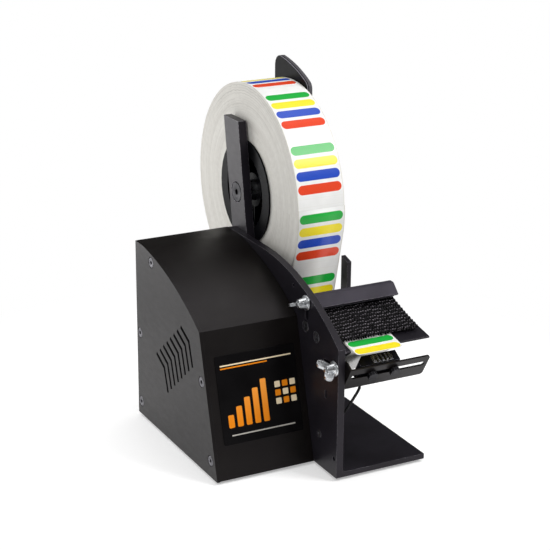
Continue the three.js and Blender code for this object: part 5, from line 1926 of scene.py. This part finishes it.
@dataclass
class Drive(Assembly):
    """Bearing, driven roller, idle roller and gearmotor of the liner drive."""

    parts: Tuple[Part, ...] = (
        Dressed("drive_bearing", Slot.BRIGHT, 0.3),
        Dressed("drive_shaft", Slot.BRIGHT, 0.3),
        Dressed("drive_roller", Slot.RUBBER, 0.5, 3),
        Dressed("pinch_shaft", Slot.BRIGHT, 0.3),
        Dressed("pinch_roller", Slot.PLASTIC, 0.4, 3),
        Dressed("gearmotor", Slot.BRIGHT, 0.6, 3),
    )


@dataclass
class Electrics(Assembly):
    """Board inside the cover, and the power inlet and rocker switch on the rear panel."""

    parts: Tuple[Part, ...] = (
        Dressed("circuit_board", Slot.BOARD, 0.3),
        Dressed("power_jack", Slot.PLASTIC, 0.3, least=60.0),
        Dressed("switch_bezel", Slot.PLASTIC, 0.5, 3),
        Dressed("switch_rocker", Slot.PLASTIC, 0.4, 3),
    )


@dataclass
class Stop:
    """A round thing that the label web turns on. Its way is 1 where the web's heading grows, and else -1."""

    y: float
    z: float
    radius: float
    way: int


@dataclass
class LabelRun(Assembly):
    """The web from the roll over the peel plate to the drive, and the label that stands out.

    The peel plate rises to the rear at slope. Angles are degrees, and the guide rod and the drive roller are
    given by Y, Z and radius. The web shifts sideways on its way from the roll to the plate's rear bend.
    """

    thickness: float = 0.4
    wall_share: float = 0.9
    clearance: float = 0.3
    wrap: float = 14.0
    exit: float = 14.0
    slope: float = 10.2
    nose: Pair = (0.5, 116.5)
    plate: float = 2.0
    rear: float = 61.0
    bend: float = 6.0
    rod: Triple = (111.0, 105.0, 6.35)
    drive: Triple = (80.0, 76.0, 12.7)
    bare_from: int = 3
    pinch: float = -60.0
    step: float = 6.0
    shift: float = 5.4
    green_y: float = 6.8

    def stops(self) -> List[Stop]:
        """Works out what the web turns on.

        Returns:
            The five round things, from the roll to the drive roller.
        """
        add = self.clearance + self.thickness / 2
        slope = math.radians(self.slope)
        down = slope - math.pi / 2
        back = around(self.nose, (self.rear - self.nose[0]) / math.cos(slope), slope)
        return [
            Stop(*ROLL_AXIS, ROLL_RADIUS + add, 1),
            Stop(*self.rod[:2], self.rod[2] + add, -1),
            Stop(*around(back, self.bend, down), self.bend + add, 1),
            Stop(*around(self.nose, self.plate / 2, down), self.plate / 2 + add, 1),
            Stop(*self.drive[:2], self.drive[2] + add, 1),
        ]

    def course(self) -> Tuple[List[Pair], List[int]]:
        """The web's middle line.

        Returns:
            Its places as Y and Z, and for each the number of its stop.
        """
        stops = self.stops()
        runs = []
        for a, b in zip(stops, stops[1:]):
            reach = math.dist((a.y, a.z), (b.y, b.z))
            lean = math.asin((a.way * a.radius - b.way * b.radius) / reach)
            runs.append(math.atan2(b.z - a.z, b.y - a.y) + lean)
        first = runs[0] - math.radians(self.wrap)
        last = math.radians(self.pinch) + math.pi / 2
        course: List[Pair] = []
        owner: List[int] = []
        for i, stop in enumerate(stops):
            start_heading = runs[i - 1] if i else first
            end_heading = runs[i] if i < len(runs) else last
            sweep = stop.way * ((stop.way * (end_heading - start_heading)) % FULL_TURN)
            start = start_heading - stop.way * math.pi / 2
            steps = max(2, math.ceil(abs(sweep) / math.radians(self.step)))
            for k in range(steps + 1):
                course.append(around((stop.y, stop.z), stop.radius, start + sweep * k / steps))
                owner.append(i)
        course.append(around(course[-1], self.exit, last))
        owner.append(len(stops))
        return course, owner

    def web(self) -> None:
        """Makes the web: printed up to the nose, and bare liner from there."""
        course, owner = self.course()
        along = [ROLL_RADIUS * (roll_turn(*course[0]) % FULL_TURN) - GREEN_ARC]
        for a, b in zip(course, course[1:]):
            along.append(along[-1] + math.dist(a, b))
        bm = bmesh.new()
        tags = bm.verts.layers.float.new("along")
        sides = bm.verts.layers.float.new("aside")
        marks = bm.verts.layers.int.new("owner")
        start_at = along[owner.index(1) - 1]
        run = along[owner.index(2)] - start_at
        moves = [self.shift * min(max((value - start_at) / run, 0.0), 1.0) for value in along]
        verts = [bm.verts.new(spot(STRIP[0] - move, y, z)) for (y, z), move in zip(course, moves)]
        lines = [bm.edges.new(pair) for pair in zip(verts, verts[1:])]
        for vert, value, mark, move in zip(verts, along, owner, moves):
            vert[tags] = value
            vert[marks] = mark
            vert[sides] = move
        made = bmesh.ops.extrude_edge_only(bm, edges=lines)["geom"]
        moved = [g for g in made if isinstance(g, bmesh.types.BMVert)]
        bmesh.ops.translate(bm, verts=moved, vec=((STRIP[1] - STRIP[0]) * MM, 0, 0))
        layer = bm.loops.layers.uv.new("strip")
        for face in bm.faces:
            bare = min(v[marks] for v in face.verts) >= self.bare_from
            face.material_index = 2 if bare else 0
            for loop in face.loops:
                place = loop.vert.co / MM - ORIGIN
                loop[layer].uv = (loop.vert[tags] * MM, (place.x + loop.vert[sides]) * MM)
        bm.normal_update()
        # The print is on the outer side, which looks to the front on the longest free stretch.
        if max(bm.faces, key=lambda face: face.calc_area()).normal.y > 0:
            bmesh.ops.reverse_faces(bm, faces=bm.faces)
        slots = [Slot.LABEL, Slot.WEB, Slot.WEB, Slot.WEB]
        piece = settle(bm, "dressed_label_web", "frame", slots, ["label_web"], sharp=60)
        wall = piece.modifiers.new("paper", "SOLIDIFY")
        wall.thickness = self.thickness * MM * self.wall_share
        wall.offset = 0.0
        wall.material_offset = 1

    def label(self) -> None:
        """Makes the label that stands out over the nose."""
        bm = merged("dispensed_label")
        layer = bm.loops.layers.uv.new("strip")
        slope = math.radians(self.slope)
        green = (self.green_y - self.nose[0]) / math.cos(slope)
        for face in bm.faces:
            for loop in face.loops:
                place = loop.vert.co / MM - ORIGIN
                run = (place.y - self.nose[0]) * math.cos(slope) + (place.z - self.nose[1]) * math.sin(slope)
                loop[layer].uv = ((green - run) * MM, (place.x + self.shift) * MM)
        settle(bm, "dressed_dispensed_label", "frame", [Slot.LABEL], ["dispensed_label"])

    def build(self) -> None:
        """Makes the paper path."""
        self.web()
        self.label()


@dataclass
class Studio:
    """Camera, lamps, background and floor.

    The camera stands at eye in the working frame, and its focal length counts in the photograph's pixels.
    Lamps are given by name, place and size in metres, and watts. The room's light is the background's
    strength for rays that light the machine. The floor's tone is a linear grey.
    """

    eye: Triple = (-631.8, -1074.5, 616.9)
    azimuth: float = 27.78
    pitch: float = 19.22
    roll: float = 0.43
    focal: float = 1637.0
    image: float = 550.0
    sensor: float = 36.0
    lamps: Tuple[Tuple[str, Triple, float, float], ...] = (
        ("lamp_key", (-1.0, -0.9, 1.4), 1.0, 9.0),
        ("lamp_top", (0.2, 0.2, 1.8), 1.2, 9.0),
        ("lamp_front", (0.75, -0.85, 1.2), 0.55, 11.0),
        ("lamp_low", (-0.36, 0.48, 0.24), 0.45, 1.5),
    )
    target: Triple = (0.0, 0.0, 0.15)
    room: float = 0.32
    gloss_room: float = 0.05
    horizon: Pair = (0.0, 0.05)
    floor_size: float = 6.0
    floor_tone: float = 0.86

    def camera(self) -> None:
        """Makes the camera from the photograph's viewpoint."""
        a, p, roll = (math.radians(v) for v in (self.azimuth, self.pitch, self.roll))
        ahead = Vector((math.sin(a) * math.cos(p), math.cos(a) * math.cos(p), -math.sin(p)))
        right = Vector((math.cos(a), -math.sin(a), 0))
        down = ahead.cross(right)
        across = math.cos(roll) * right - math.sin(roll) * down
        under = math.sin(roll) * right + math.cos(roll) * down
        data = bpy.data.cameras.new("camera")
        data.sensor_width = self.sensor
        data.lens = self.focal / self.image * self.sensor
        data.clip_start = 0.05
        data.clip_end = 50
        camera = linked("camera", data)
        basis = Matrix((across, -under, -ahead)).transposed().to_4x4()
        camera.matrix_world = Matrix.Translation(spot(*self.eye)) @ basis
        bpy.context.scene.camera = camera

    def light(self) -> None:
        """Makes the soft lamps, each turned to the machine's middle."""
        for name, place, size, power in self.lamps:
            data = bpy.data.lights.new(name, "AREA")
            data.shape = "SQUARE"
            data.size = size
            data.energy = power
            lamp = linked(name, data)
            lamp.visible_camera = False
            lamp.location = place
            lamp.rotation_euler = (Vector(self.target) - Vector(place)).to_track_quat("-Z", "Y").to_euler()

    def background(self) -> None:
        """Makes a surround that is white to the camera, and to gloss where it meets the floor."""
        world = bpy.data.worlds.new("surround")
        world.use_nodes = True
        tree = world.node_tree
        light = tree.nodes["Background"]
        light.inputs[0].default_value = (1, 1, 1, 1)
        path = tree.nodes.new("ShaderNodeLightPath")
        split = tree.nodes.new("ShaderNodeSeparateXYZ")
        tree.links.new(tree.nodes.new("ShaderNodeTexCoord").outputs["Generated"], split.inputs[0])
        rise = tree.nodes.new("ShaderNodeMapRange")
        limits = zip(("From Min", "From Max", "To Min", "To Max"), (*self.horizon, 1.0, self.gloss_room))
        for name, value in limits:
            rise.inputs[name].default_value = value
        tree.links.new(split.outputs[2], rise.inputs["Value"])
        strength: object = self.room
        for name, shown in (("Is Glossy Ray", rise.outputs[0]), ("Is Transmission Ray", rise.outputs[0]),
                            ("Is Camera Ray", 1.0)):
            choice = tree.nodes.new("ShaderNodeMix")
            tree.links.new(path.outputs[name], choice.inputs[0])
            for socket, value in ((choice.inputs[2], strength), (choice.inputs[3], shown)):
                if isinstance(value, float):
                    socket.default_value = value
                else:
                    tree.links.new(value, socket)
            strength = choice.outputs[0]
        tree.links.new(strength, light.inputs[1])
        bpy.context.scene.world = world

    def floor(self) -> None:
        """Makes the floor."""
        bm = bmesh.new()
        bmesh.ops.create_grid(bm, x_segments=1, y_segments=1, size=self.floor_size)
        mesh = bpy.data.meshes.new("floor")
        bm.to_mesh(mesh)
        bm.free()
        mesh.materials.append(StudioFloor("floor_white", (self.floor_tone,) * 3).make())
        floor = linked("floor", mesh)

    def build(self) -> None:
        """Makes the studio."""
        self.light()
        self.background()
        self.floor()
        bpy.context.scene.view_settings.view_transform = "Standard"


def corners(box: Iterable[Sequence[float]]) -> List[List[float]]:
    """A box as plain lists of numbers.

    Args:
        box: its lowest and highest corner.

    Returns:
        The two corners.
    """
    return [[float(value) for value in corner] for corner in box]


def main() -> None:
    """Builds the camera, the cord and every sub-assembly in order."""
    logging.basicConfig(level=logging.INFO, format="%(message)s")
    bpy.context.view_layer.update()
    studio = Studio()
    studio.camera()
    sensor = SensorUnit()
    sensor.cable()
    for unit in (FrameAngle(), Housing(), Reel(), BrushUnit(), PeelStation(), sensor, Drive(), Electrics(),
                 LabelRun()):
        unit.build()
        LOG.info("built %s", type(unit).__name__)
    studio.build()


if __name__ == "__main__":
    main()
